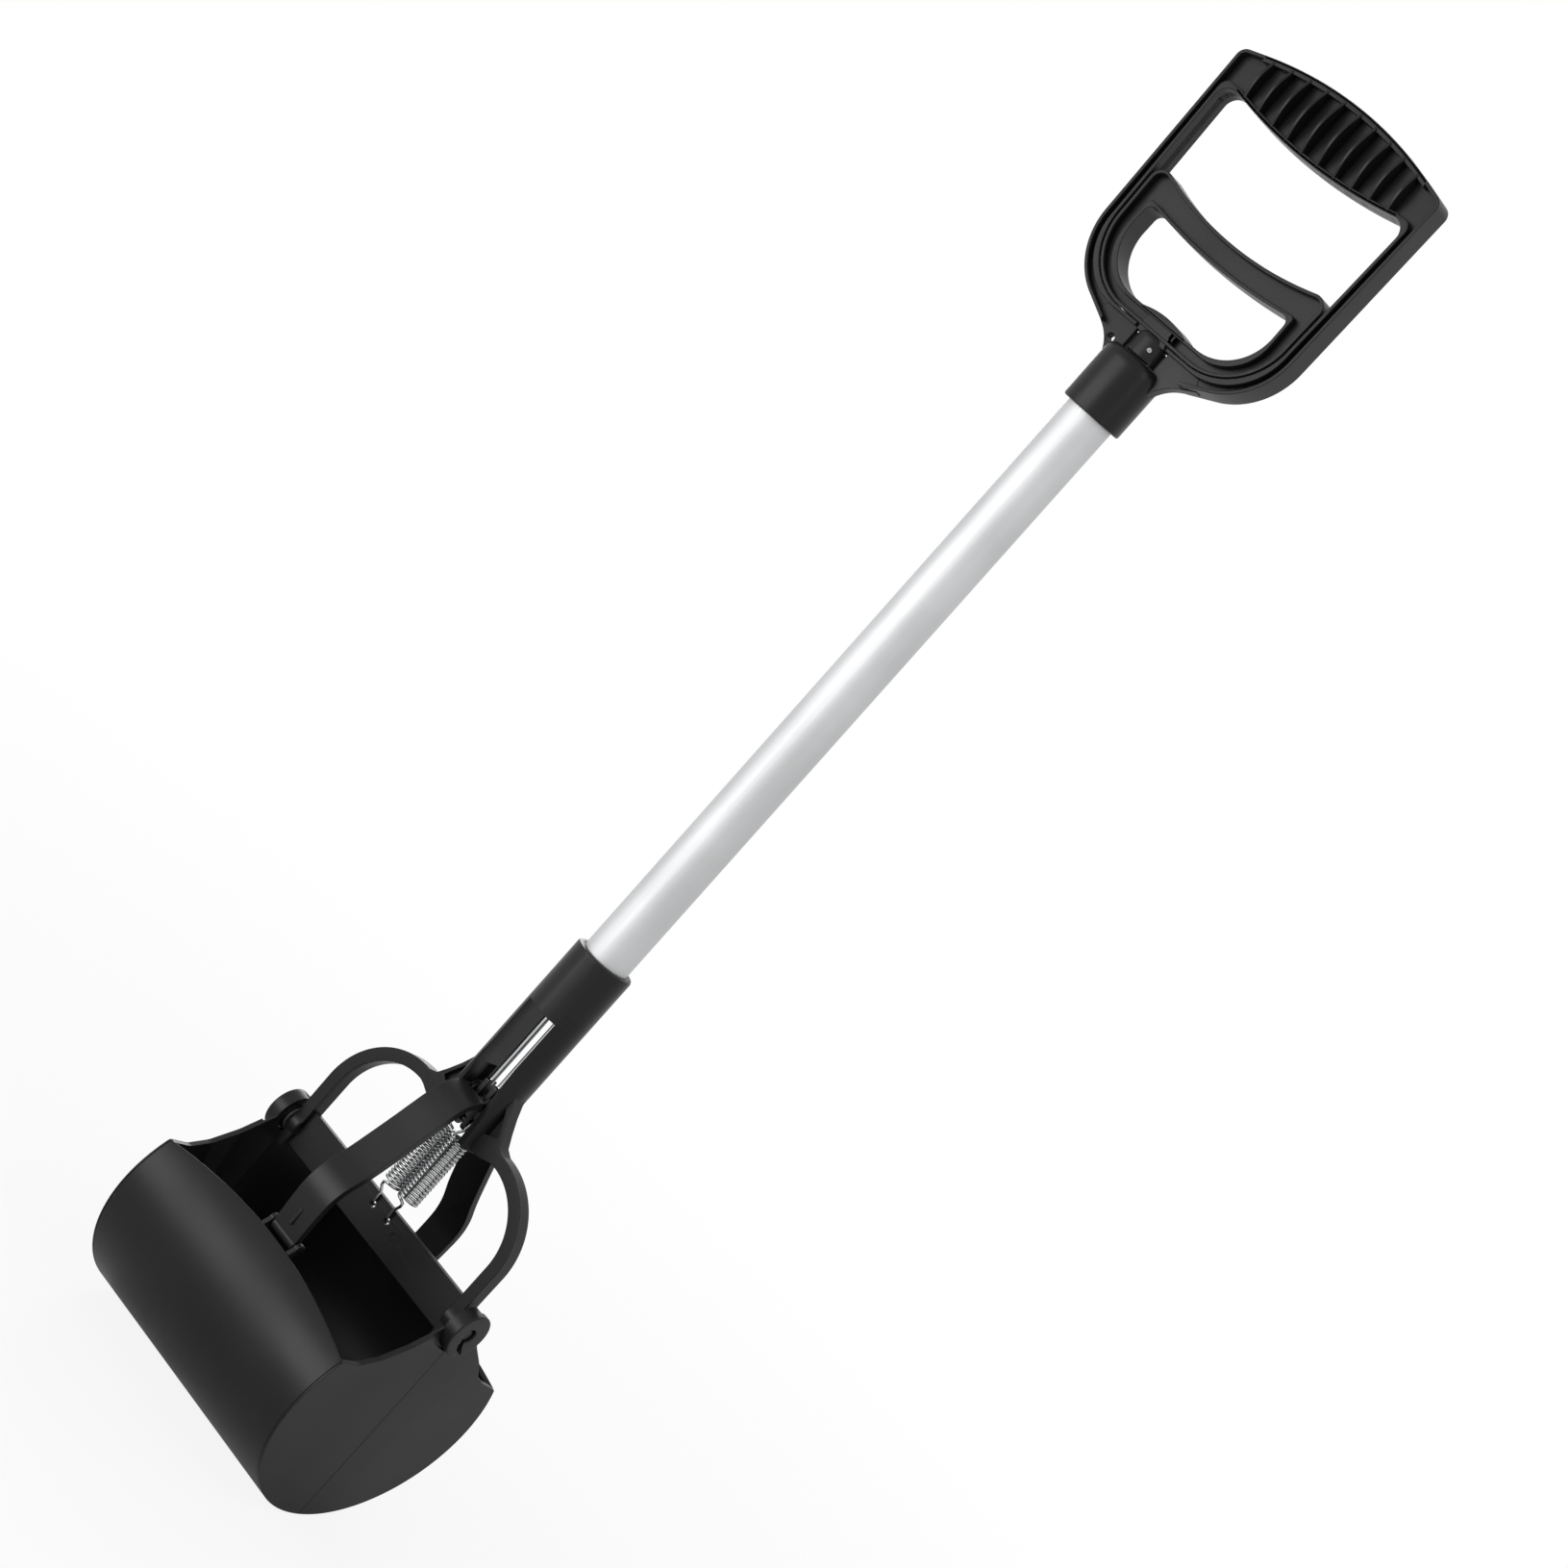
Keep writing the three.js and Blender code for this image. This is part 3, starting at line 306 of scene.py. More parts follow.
# what the plastics share: a fine grain, a cloudy tone, long flow marks of the melt, and edges rubbed a little paler
def mouldedSkinGroup(s):
    group = bpy.data.node_groups.new("mouldedSkin", "ShaderNodeTree")
    sockets = [("Vector", "Vector", "INPUT"), ("Base", "Color", "INPUT"), ("Grain", "Float", "INPUT"),
               ("EdgeWear", "Float", "INPUT"), ("Roughness", "Float", "INPUT"), ("Color", "Color", "OUTPUT"),
               ("Roughness", "Float", "OUTPUT"), ("Height", "Float", "OUTPUT")]
    for name, kind, side in sockets:
        group.interface.new_socket(name=name, in_out=side, socket_type="NodeSocket" + kind)
    links = group.links
    come = group.nodes.new("NodeGroupInput")
    go = group.nodes.new("NodeGroupOutput")
    grain = noiseNode(group, come.outputs["Vector"], s["grain"])
    links.new(come.outputs["Grain"], grain.inputs["Scale"])
    links.new(grain.outputs["Fac"], go.inputs["Height"])
    cloud = noiseNode(group, come.outputs["Vector"], s["cloud"])
    tone = rangeNode(group, s["cloudSpan"], s["toneSpan"])
    links.new(cloud.outputs["Fac"], tone.inputs["Value"])
    shade = group.nodes.new("ShaderNodeVectorMath")
    shade.operation = "SCALE"
    links.new(come.outputs["Base"], shade.inputs[0])
    links.new(tone.outputs["Result"], shade.inputs["Scale"])
    geometry = group.nodes.new("ShaderNodeNewGeometry")
    worn = rangeNode(group, s["edgeSpan"], (0, 1))
    links.new(geometry.outputs["Pointiness"], worn.inputs["Value"])
    rubbed = mathNode(group, "MULTIPLY", worn.outputs["Result"], come.outputs["EdgeWear"])
    paler = group.nodes.new("ShaderNodeMix")
    paler.data_type = "RGBA"
    paler.inputs["B"].default_value = s["rubbedColor"]
    links.new(rubbed, paler.inputs["Factor"])
    links.new(shade.outputs["Vector"], paler.inputs["A"])
    links.new(paler.outputs["Result"], go.inputs["Color"])
    flow = noiseNode(group, come.outputs["Vector"], s["flow"])
    change = rangeNode(group, s["flowSpan"], s["roughSpan"])
    links.new(flow.outputs["Fac"], change.inputs["Value"])
    links.new(mathNode(group, "ADD", change.outputs["Result"], come.outputs["Roughness"]), go.inputs["Roughness"])
    return group


mouldedSkin = mouldedSkinGroup(skinSettings)


def mouldedPlastic(name, settings):
    material, tree, shader = newMaterial(name)
    shader.inputs["IOR"].default_value = 1.5
    shader.inputs["Specular IOR Level"].default_value = settings["shine"]
    skin = tree.nodes.new("ShaderNodeGroup")
    skin.node_tree = mouldedSkin
    skin.inputs["Base"].default_value = (*settings["color"], 1)
    skin.inputs["Grain"].default_value = settings["grain"]
    skin.inputs["EdgeWear"].default_value = settings["edgeWear"]
    skin.inputs["Roughness"].default_value = settings["roughness"]
    place = tree.nodes.new("ShaderNodeTexCoord")
    tree.links.new(place.outputs["Object"], skin.inputs["Vector"])
    tree.links.new(skin.outputs["Color"], shader.inputs["Base Color"])
    tree.links.new(skin.outputs["Roughness"], shader.inputs["Roughness"])
    addBump(tree, shader, skin.outputs["Height"], settings["bump"], skinSettings["bumpDepth"])
    return material


drawnSettings = {"lineDetail": 4, "cloudScale": 30, "cloudSpan": (0.35, 0.65), "cloudDark": 0.93,
                 "roughSpread": (0.05, 0.08), "bumpDepth": 0.1}


# fine lines along one direction, and a slight cloudiness
def drawnMetal(name, settings):
    s = drawnSettings
    material, tree, shader = newMaterial(name)
    shader.inputs["Metallic"].default_value = 1
    place = tree.nodes.new("ShaderNodeTexCoord")
    stretch = tree.nodes.new("ShaderNodeMapping")
    stretch.inputs["Scale"].default_value = settings["stretch"]
    tree.links.new(place.outputs["Object"], stretch.inputs["Vector"])
    lines = noiseNode(tree, stretch.outputs["Vector"], {"Scale": settings["lineScale"], "Detail": s["lineDetail"]})
    cloud = noiseNode(tree, place.outputs["Object"], {"Scale": s["cloudScale"]})
    smoother, rougher = s["roughSpread"]
    rough = rangeNode(tree, (0, 1), (settings["roughness"] - smoother, settings["roughness"] + rougher))
    tree.links.new(lines.outputs["Fac"], rough.inputs["Value"])
    tree.links.new(rough.outputs["Result"], shader.inputs["Roughness"])
    ramp = tree.nodes.new("ShaderNodeValToRGB")
    dark, light = ramp.color_ramp.elements[0], ramp.color_ramp.elements[1]
    dark.position, light.position = s["cloudSpan"]
    dark.color = (*[c * s["cloudDark"] for c in settings["color"]], 1)
    light.color = (*settings["color"], 1)
    tree.links.new(cloud.outputs["Fac"], ramp.inputs["Fac"])
    tree.links.new(ramp.outputs["Color"], shader.inputs["Base Color"])
    addBump(tree, shader, lines.outputs["Fac"], settings["bump"], s["bumpDepth"])
    return material


blackPlastic = mouldedPlastic("blackPlastic", {
    "color": (0.0095, 0.0095, 0.01), "grain": 1400, "edgeWear": 0.1, "roughness": 0.36, "shine": 0.2, "bump": 0.08})
guidePlastic = mouldedPlastic("guidePlastic", {
    "color": (0.05, 0.052, 0.056), "grain": 1100, "edgeWear": 0.2, "roughness": 0.5, "shine": 0.45, "bump": 0.12})
tubeMetal = drawnMetal("tubeMetal", {
    "color": (0.6, 0.605, 0.61), "roughness": 0.6, "stretch": (1, 1, 0.02), "lineScale": 900, "bump": 0.08})
rodSteel = drawnMetal("rodSteel", {
    "color": (0.5, 0.505, 0.515), "roughness": 0.14, "stretch": (1, 1, 0.03), "lineScale": 1500, "bump": 0.08})
springSteel = drawnMetal("springSteel", {
    "color": (0.4, 0.405, 0.41), "roughness": 0.2, "stretch": (1, 1, 1), "lineScale": 1200, "bump": 0.05})
darkSteel = drawnMetal("darkSteel", {
    "color": (0.03, 0.03, 0.032), "roughness": 0.35, "stretch": (0.05, 1, 1), "lineScale": 1200, "bump": 0.08})
print("materials made")


def finishPiece(obj, material, slotName, body, *replaced):
    obj.data.materials.clear()
    obj.data.materials.append(material)
    for face in obj.data.polygons:
        face.material_index = 0
    flattenShading(obj)
    if body:
        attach(obj, body)
    if replaced:
        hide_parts(*replaced)
    print("made", obj.name, len(obj.data.polygons), "faces")
    return obj


handleSettings = {
    "corners": [(12.74, -135.5, 0), (12.74, -116.5, 17), (54.6, -98.5, 33), (57.2, 5.6, 4.5)],
    "top": (0, 21.36, 173),
    "window": [(49.2, -103.6, 29.8), (52.3, -8.2, 6)],
    "windowTop": (0, -18.4, 230),
    "rim": 1.5, "webHalf": 2.2, "webInset": 0.4, "webHole": (-15.9, -114.9, 1.9), "slotHalf": 9.2, "slotFloor": -114.4,
    "cutReach": 12,
    # the rods slide up through the throat, and the rims end where the thin gussets beside the collar begin
    "throat": [(-11.7, -140), (11.7, -140), (11.7, -115), (9.1, -114), (-9.1, -114), (-11.7, -115)],
    "rimEnd": [(-23, -104), (-23, -140), (23, -140), (23, -104)],
    "gusset": [(12.6, -138, 0), (12.6, -118.6, 19), (30, -109.4, 0), (26, -103.4, 2)],
    "gussetInner": [(11.7, -115, 0), (11.7, -138, 0)], "gussetTop": -103.9, "gussetHalf": 2.5,
    # each bar of the grip: its height in the middle, how flat its curve is, and its thickness
    "topBar": (14.75, 346, 2.7), "bottomBar": (-14.05, 460, 2.0), "barHalf": 46, "barInset": 0.05,
    "ribPitch": 9.1, "ribs": 10, "ribThick": 1.25, "ribBulge": 3.9, "ribReach": 62, "ribEnds": (0.7, 0.8),
    "ribInset": 0.1, "ribSteps": 16,
    "collar": [(9.9, -114.4), (11.3, -114.4), (12.2, -114.75), (12.95, -115.4), (13.5, -116.2), (13.9, -117.2),
               (14.1, -118.4), (14.15, -119.6), (14.15, -142.6), (13.9, -143.2), (13.3, -143.5), (11.6, -143.5),
               (11.3, -143.2), (11.3, -117.2), (9.9, -117.2)],
}


# the two bars of the grip and the ribs between them
def gripBars(s):
    half, span, skin = gripHalfDepth, s["barHalf"], s["barInset"]
    topMiddle, topFlatness, topThick = s["topBar"]
    bottomMiddle, bottomFlatness, bottomThick = s["bottomBar"]

    def topAt(x, down):
        return Vector((x, topMiddle - x * x / topFlatness - down))

    def bottomAt(x, up):
        return Vector((x, bottomMiddle + x * x / bottomFlatness + up))

    across = [-span + 2 * span * k / 40 for k in range(41)]
    topBar = [topAt(x, topThick) for x in across] + [topAt(x, skin) for x in reversed(across)]
    bottomBar = [bottomAt(x, skin) for x in across] + [bottomAt(x, bottomThick) for x in reversed(across)]
    parts = [plate("gripTop", [topBar], "xz", -half, half), plate("gripBottom", [bottomBar], "xz", -half, half)]
    steps, thick = s["ribSteps"], s["ribThick"] / 2
    endBelow, endAbove = s["ribEnds"]
    for i in range(s["ribs"]):
        x = (i - (s["ribs"] - 1) / 2) * s["ribPitch"]
        low, high = bottomAt(x, endBelow)[1], topAt(x, endAbove)[1]
        swell = s["ribBulge"] * (1 - (x / s["ribReach"]) ** 2)
        front = [Vector((-half - swell * math.sin(math.pi * k / steps) + s["ribInset"], low + (high - low) * k / steps))
                 for k in range(steps + 1)]
        rear = [Vector((-p[0], p[1])) for p in reversed(front)]
        parts.append(plate("rib", [rear + front], "yz", x - thick, x + thick, edge=0.25))
    return parts


def handFrame(s):
    outer = bothSides(s["corners"], s["top"])
    window = bothSides(s["window"], s["windowTop"])
    half, rim, slot, floorZ, reach = gripHalfDepth, s["rim"], s["slotHalf"], s["slotFloor"], s["cutReach"]
    bottom = s["window"][0][1]
    # the window's points from its bottom right corner round to the bottom left one, left open for the stem
    openSlot = [Vector((slot, bottom))] + arcs(window) + [Vector((-slot, bottom))]
    widened = arcs(inset(window, -rim))
    webHole = ringPoints(*s["webHole"], 24)
    opening = openSlot + [Vector((-slot, floorZ)), Vector((slot, floorZ))]
    web = [arcs(inset(outer, s["webInset"])), opening, webHole]
    core = plate("handFrame", web, "xz", -s["webHalf"], s["webHalf"], edge=0.2)
    cut(core, plate("cutter", [onSide(1, s["throat"])], "xz", -reach, reach, edge=0))
    settle(core)
    outerRim = plate("outerRim", [arcs(outer), arcs(inset(outer, rim))], "xz", -half, half)
    cut(outerRim, plate("cutter", [onSide(1, s["rimEnd"])], "xz", -reach, reach, edge=0))
    settle(outerRim)
    back = [Vector((-slot, bottom - rim))] + list(reversed(widened)) + [Vector((slot, bottom - rim))]
    parts = [core, outerRim, plate("innerRim", [openSlot + back], "xz", -half, half)]
    foot = s["gusset"] + [(slot, s["gussetTop"], 0), (slot, floorZ, 0)] + s["gussetInner"]
    for sign, holes in [(1, []), (-1, [webHole])]:
        loop = arcs([(sign * x, z, r) for x, z, r in foot][::sign])
        parts.append(plate("frameFoot", [loop] + holes, "xz", -s["gussetHalf"], s["gussetHalf"], edge=0.3))
    parts += gripBars(s)
    parts.append(turned("upperCollar", s["collar"]))
    return joinAll("handFrame", parts)


finishPiece(handFrame(handleSettings), blackPlastic, "black_plastic", "base", "handle_frame")


triggerSettings = {
    "ring": [(48.4, -103.3, 29), (49.9, -48.9, 5.5)], "ringTop": (0, -61.8, 155),
    "fingers": [(41.6, -96.8, 22), (41, -64.4, 3.5)], "fingersTop": (0, -70.2, 256),
    "rim": 1.5, "webHalf": 2.3, "webInset": 0.3,
    "bump": [(-13, -98, 0), (13, -98, 0), (13, -96.9, 0), (0, -93.3, 40), (-13, -96.9, 0)],
    "stemHalf": 8.0, "stemEnds": (-105.4, -96.9), "stemInset": 0.6,
    "dent": [(6.2, -100.4), (8.0, -100.4), (8.0, -98.3), (6.2, -98.3)],
    "hood": [(0.5, -113.9), (7.2, -113.9), (7.8, -113.3), (7.8, -105.4), (7.5, -104.3), (6.7, -103.5), (5.6, -103.2),
             (0.5, -103.2)],
    "neck": [(-7, -138, 1), (7, -138, 1), (7, -112, 0), (-7, -112, 0)], "neckHalf": 4,
}


def squeezeRing(s):
    ring = bothSides(s["ring"], s["ringTop"])
    fingers = bothSides(s["fingers"], s["fingersTop"])
    half, rim, stem = gripHalfDepth, s["rim"], s["stemHalf"]
    web = [arcs(inset(ring, s["webInset"])), arcs(inset(fingers, -s["webInset"]))]
    parts = [plate("squeezeRing", web, "xz", -s["webHalf"], s["webHalf"], edge=0.2)]
    parts.append(plate("ringRim", [arcs(ring), arcs(inset(ring, rim))], "xz", -half, half))
    parts.append(plate("fingerRim", [arcs(inset(fingers, -rim)), arcs(fingers)], "xz", -half, half))
    parts.append(plate("fingerBump", [arcs(s["bump"])], "xz", -half, half))
    low, high = s["stemEnds"]
    block = arcs([(stem, low, 0), (stem, high, 0), (-stem, high, 0), (-stem, low, 0)])
    depth = half - s["stemInset"]
    parts.append(plate("stemBlock", [block, onSide(1, s["dent"])], "xz", -depth, depth))
    parts.append(turned("stemHood", s["hood"], steps=64))
    parts.append(plate("stemNeck", [arcs(s["neck"])], "xz", -s["neckHalf"], s["neckHalf"]))
    return joinAll("squeezeRing", parts)


finishPiece(squeezeRing(triggerSettings), blackPlastic, "black_plastic", "squeeze", "trigger")

# the bright end of the rivet in the hood, which faces the front right
rivetSettings = {"profile": [(0.2, 6.5), (1.15, 6.5), (1.15, 7.9), (0.9, 8.15), (0.2, 8.2)], "z": -109, "turn": -58}
rivet = turned("stemRivet", rivetSettings["profile"], steps=32)
rivetPlace = Matrix.Translation((0, 0, rivetSettings["z"] * mm))
rivetTurn = Matrix.Rotation(math.radians(rivetSettings["turn"]), 4, "Z")
rivet.data.transform(rivetPlace @ rivetTurn @ Matrix.Rotation(math.pi / 2, 4, "Y"))
finishPiece(rivet, springSteel, "rod_steel", "squeeze")


tubeSettings = {"radius": 11, "wall": 1.2, "top": -117.5, "bottom": -462}


def bareTube(s):
    outer, inner, top, bottom = s["radius"], s["radius"] - s["wall"], s["top"], s["bottom"]
    return turned("bareTube", [(inner, bottom), (outer, bottom), (outer, top), (inner, top)])


finishPiece(bareTube(tubeSettings), tubeMetal, "tube_metal", "base", "tube")

rodSettings = {"x": 2.75, "radius": 1.4, "chamfer": 0.3, "top": -116, "bottom": -510.6,
               "foot": (1.5, 4.0), "footHalf": 3, "footEnds": (-508.5, -532.2), "footRounding": (1, 2.6),
               "holes": (-517, -528.5), "holeRadius": 1.55}


def pullRod(name, side, s):
    r, c, top, bottom = s["radius"], s["chamfer"], s["top"], s["bottom"]
    profile = [(0, bottom), (r - c, bottom), (r, bottom + c), (r, top - c), (r - c, top), (0, top)]
    rod = turned(name, profile, at=(side * s["x"], 0, 0), steps=32)
    low, high = sorted((side * s["foot"][0], side * s["foot"][1]))
    deep, (footTop, footBottom), (topRound, bottomRound) = s["footHalf"], s["footEnds"], s["footRounding"]
    outline = arcs([(deep, footTop, topRound), (-deep, footTop, topRound),
                    (-deep, footBottom, bottomRound), (deep, footBottom, bottomRound)])
    holes = [ringPoints(0, z, s["holeRadius"], 24) for z in s["holes"]]
    foot = plate("rodFoot", [outline] + holes, "yz", low, high, edge=0.25)
    return joinAll(name, [rod, foot])


for name, side, node in [("rodLeft", -1, "pull_rod_left"), ("rodRight", 1, "pull_rod_right")]:
    rod = finishPiece(pullRod(name, side, rodSettings), rodSteel, "rod_steel", "squeeze", node)
    rod.data.materials.append(darkSteel)  # the feet, below their top, take the dark steel
    for face in rod.data.polygons:
        if face.center.z < rodSettings["footEnds"][0] * mm:
            face.material_index = 1


housingSettings = {
    "radius": 14.15, "bore": 11.3, "boreBelow": 11.0, "seat": (-462.0, -462.3), "collarTop": -439, "neckTop": -470,
    "collarEdge": [(12.9, 0), (13.7, 0.35), (14.15, 1.2)],  # radius, and drop below the collar's top
    "neckChamfer": 0.2, "floorRadius": 11.4, "rodSlot": (2.75, 2.4),
    "neckBottom": -535, "neckOverlap": 6, "channel": 8.5, "cutReach": 20, "cutFoot": (7.4, -539),
    "neckEdge": [(15.5, -478), (12, -485), (11, -498), (9.8, -510), (8.4, -523), (7.6, -535)],
    "bay": (10.8, 5.6, 30), "bayTop": -505,
    "loopCentre": (26.5, -560), "loopOuter": 35, "loopBar": 5.9, "loopHalf": 4, "loopSteps": 44,
    "flange": 1.3, "flangeOverlap": 0.15, "grooveDepth": 0.4,
    "wing": [(8.8, -496), (13.2, -496), (13.2, -502.5), (14.3, -507), (16.6, -512.5), (19.9, -518.7), (22.9, -523.6)],
    "wingInner": [(24.2, -531.4), (19.5, -533.2), (14, -534.2), (10.9, -534.2), (10.9, -505), (8.8, -505)],
    "wingPocket": [(13, -510.2), (14.9, -513.3), (18.1, -519.3), (19.4, -521.8), (13, -525.4)],
    "wingWeb": [(12.6, -508), (14.5, -512), (19.2, -520.6), (21.0, -524.2), (12.6, -527)], "wingWebHalf": 1.2,
    "tongueOuter": [(61.2, -586), (60.2, -597.4)], "tongueInner": [(56.6, -597.4), (55.6, -586)],
    "boss": [(0.5, 0.2), (4.9, 0.2), (5.5, 0.8), (5.5, 5.0), (4.9, 5.6), (2.7, 5.6), (2.7, 1.2), (0.5, 1.2)],
    "bossLength": 5.7, "bossLeft": -61.1, "bossRight": 55.5,
    "crossbar": (-594.5, -576.4), "crossbarHalf": 56.6, "crossbarRounding": 0.8, "crossbarDepth": (-1.2, 1.5),
    "faceDepth": (-1.5, -1.1), "springHole": (5.2, -582, 1.6), "mark": (13.5, -584.6, 2.4),
}


# the sides of the neck: two shells of a cylinder whose front and back edges draw in lower down
def neckWalls(s):
    r, low, reach = s["radius"], s["neckBottom"], s["cutReach"]
    footY, footZ = s["cutFoot"]
    bayX, bayY, bayZ = s["bay"]
    side = math.acos(s["channel"] / r)
    across = [Vector((r * math.cos(a), r * math.sin(a))) for a in [side * (k / 14 - 1) for k in range(29)]]
    walls = []
    for sign in (-1, 1):
        wall = plate("neckWall", [onSide(sign, across)], "xy", low, s["neckTop"] + s["neckOverlap"], edge=0.05)
        for front in (-1, 1):
            edge = onSide(front, s["neckEdge"])
            beyond = onSide(front, [(footY, footZ), (reach, footZ), (reach, s["neckEdge"][0][1])])
            cut(wall, plate("cutter", [edge + beyond], "yz", -reach, reach, edge=0))
        clearSelection()
        bpy.ops.mesh.primitive_cube_add(size=2, location=(0, 0, (s["bayTop"] - bayZ) * mm),
                                        scale=(bayX * mm, bayY * mm, bayZ * mm))
        cut(wall, bpy.context.active_object)
        roundEdges(wall, 0.4, segments=3, angle=40, clamp=False)
        settle(wall)
        walls.append(wall)
    return walls


# one side of the yoke: the front flange stands a little proud of the bar behind it
def yokeSide(sign, s):
    cx, cz = s["loopCentre"]
    half, flange = s["loopHalf"], s["flange"]
    turns = [math.pi / 2 * k / s["loopSteps"] for k in range(s["loopSteps"] + 1)]
    parts = []
    layers = [(-half, -half + flange, 0), (-half + flange - s["flangeOverlap"], half, s["grooveDepth"])]
    for low, high, shrink in layers:
        outer, small = s["loopOuter"] - shrink, s["loopOuter"] - s["loopBar"]
        arcOut = [(cx + outer * math.sin(t), cz + outer * math.cos(t)) for t in turns]
        arcIn = [(cx + small * math.sin(t), cz + small * math.cos(t)) for t in reversed(turns)]
        tongue = [(a - shrink, b) for a, b in s["tongueOuter"]] + s["tongueInner"]
        outline = s["wing"] + arcOut + tongue + arcIn + s["wingInner"]
        parts.append(plate("yoke", [onSide(sign, outline), onSide(sign, s["wingPocket"])], "xz", low, high))
    parts.append(plate("wingWeb", [onSide(sign, s["wingWeb"])], "xz", -s["wingWebHalf"], s["wingWebHalf"], edge=0.1))
    return parts


def housing(s):
    r, top, neck, chamfer = s["radius"], s["collarTop"], s["neckTop"], s["neckChamfer"]
    seatTop, seatBottom = s["seat"]
    under = neck - 2 * chamfer
    collar = [(s["bore"], top)] + [(a, top - down) for a, down in s["collarEdge"]]
    collar += [(r, neck - chamfer), (r - chamfer, under), (s["boreBelow"], under), (s["boreBelow"], seatBottom),
               (s["bore"], seatTop)]
    parts = [turned("lowerHousing", collar)]
    slotX, slotR = s["rodSlot"]
    slotEnds = [Vector((slotX + slotR * math.cos(a), slotR * math.sin(a)))
                for a in [math.pi * (k / 12 - 0.5) for k in range(13)]]
    slotHole = slotEnds + [Vector((-p[0], -p[1])) for p in slotEnds]
    floorRing = ringPoints(0, 0, s["floorRadius"], 64)
    parts.append(plate("neckFloor", [floorRing, slotHole], "xy", under, seatBottom, edge=0.3))
    parts += neckWalls(s)
    for sign in (-1, 1):
        parts += yokeSide(sign, s)
        boss, bossX = s["boss"], s["bossRight"]
        if sign < 0:
            boss, bossX = [(a, s["bossLength"] - b) for a, b in boss], s["bossLeft"]
        parts.append(turned("boss", boss, "x", (bossX, 0, hingeZ), 40))
    zLow, zHigh = s["crossbar"]
    end, rounding = s["crossbarHalf"], s["crossbarRounding"]
    strip = arcs([(-end, zLow, rounding), (end, zLow, rounding), (end, zHigh, rounding), (-end, zHigh, rounding)])
    holeX, holeZ, holeR = s["springHole"]
    holes = [ringPoints(sign * holeX, holeZ, holeR, 24) for sign in (-1, 1)]
    parts.append(plate("crossbar", [strip] + holes, "xz", *s["crossbarDepth"], edge=0.3))
    face = [strip] + holes + [ringPoints(*s["mark"], 32)]
    parts.append(plate("crossbarFace", face, "xz", *s["faceDepth"], edge=0.12))
    return joinAll("lowerHousing", parts)


finishPiece(housing(housingSettings), blackPlastic, "black_plastic", "base", "lower_housing")


jawSettings = {
    "half": 65.3, "wall": 2.5, "wallHalf": 64.3, "centreZ": -636.5, "reachY": 64.43, "reachZ": 54.3,
    "endSeam": 0.07, "wallSeam": 0.12, "rimMiddle": -604.8, "rimDrop": 7.7,
    "frontTop": [(0.07, -584, 0), (7, -584, 0), (22.8, -599.4, 20), (35.3, -608.1, 12), (46, -612.2, 8),
                 (56.9, -612.4, 0)],
    "backTop": [(0.07, -584, 0), (9, -584, 0), (19.7, -593.2, 9), (29.6, -599.8, 9), (38.4, -607.6, 5),
                (46.4, -610.5, 9), (56.9, -612.4, 0)],
    # the end plates, each as its two faces and its rounded edge, and the height where their round side starts
    "lip": (64.34, 65.27, 0.28), "panel": (62.78, 64.6, 0.2), "panelInset": 1.0, "bowlTop": -613.0,
    "earCut": (64, 7.6, 8),
    "pivot": (46.4, -602.6, 2.7), "cheek": (8.0, 10.2), "cheekInset": 0.1, "cheekFoot": [(54.0, -608.5), (54.4, -612)],
}


# points of the round profile from one height down to the seam, some depth under the skin
def bowlLine(s, fromZ, depth, steps=60):
    reachY, reachZ = s["reachY"] - depth, s["reachZ"] - depth
    first = math.asin((fromZ - s["centreZ"]) / reachZ)
    turns = [first * (1 - k / steps) - math.pi / 2 * k / steps for k in range(steps + 1)]
    return [(max(s["endSeam"], reachY * math.cos(t)), s["centreZ"] + reachZ * math.sin(t)) for t in turns]


# the curved wall: a flat grid bent so that its rim follows the arch and its other end is the seam
def jawWall(name, side, s):
    clearSelection()
    bpy.ops.mesh.primitive_grid_add(x_subdivisions=56, y_subdivisions=64, size=2, location=(0, 0, 0))
    wall = bpy.context.active_object
    wall.name = name
    reachY, reachZ, centreZ = s["reachY"], s["reachZ"], s["centreZ"]
    seamAngle = -math.acos(s["wallSeam"] / reachY)
    for v in wall.data.vertices:
        x = v.co.x * s["wallHalf"]
        rim = s["rimMiddle"] - s["rimDrop"] * (x / s["half"]) ** 2
        topAngle = math.asin((rim - centreZ) / reachZ)
        angle = topAngle + (seamAngle - topAngle) * (v.co.y + 1) / 2
        v.co = (x * mm, side * reachY * math.cos(angle) * mm, (centreZ + reachZ * math.sin(angle)) * mm)
    settle(wall)
    outward = sum(f.normal.dot(Vector((0, f.center.y, f.center.z - centreZ * mm))) for f in wall.data.polygons)
    if outward < 0:
        turnOver(wall)
    thicken(wall, s["wall"])
    roundEdges(wall, 0.45, segments=3, angle=50)
    return wall


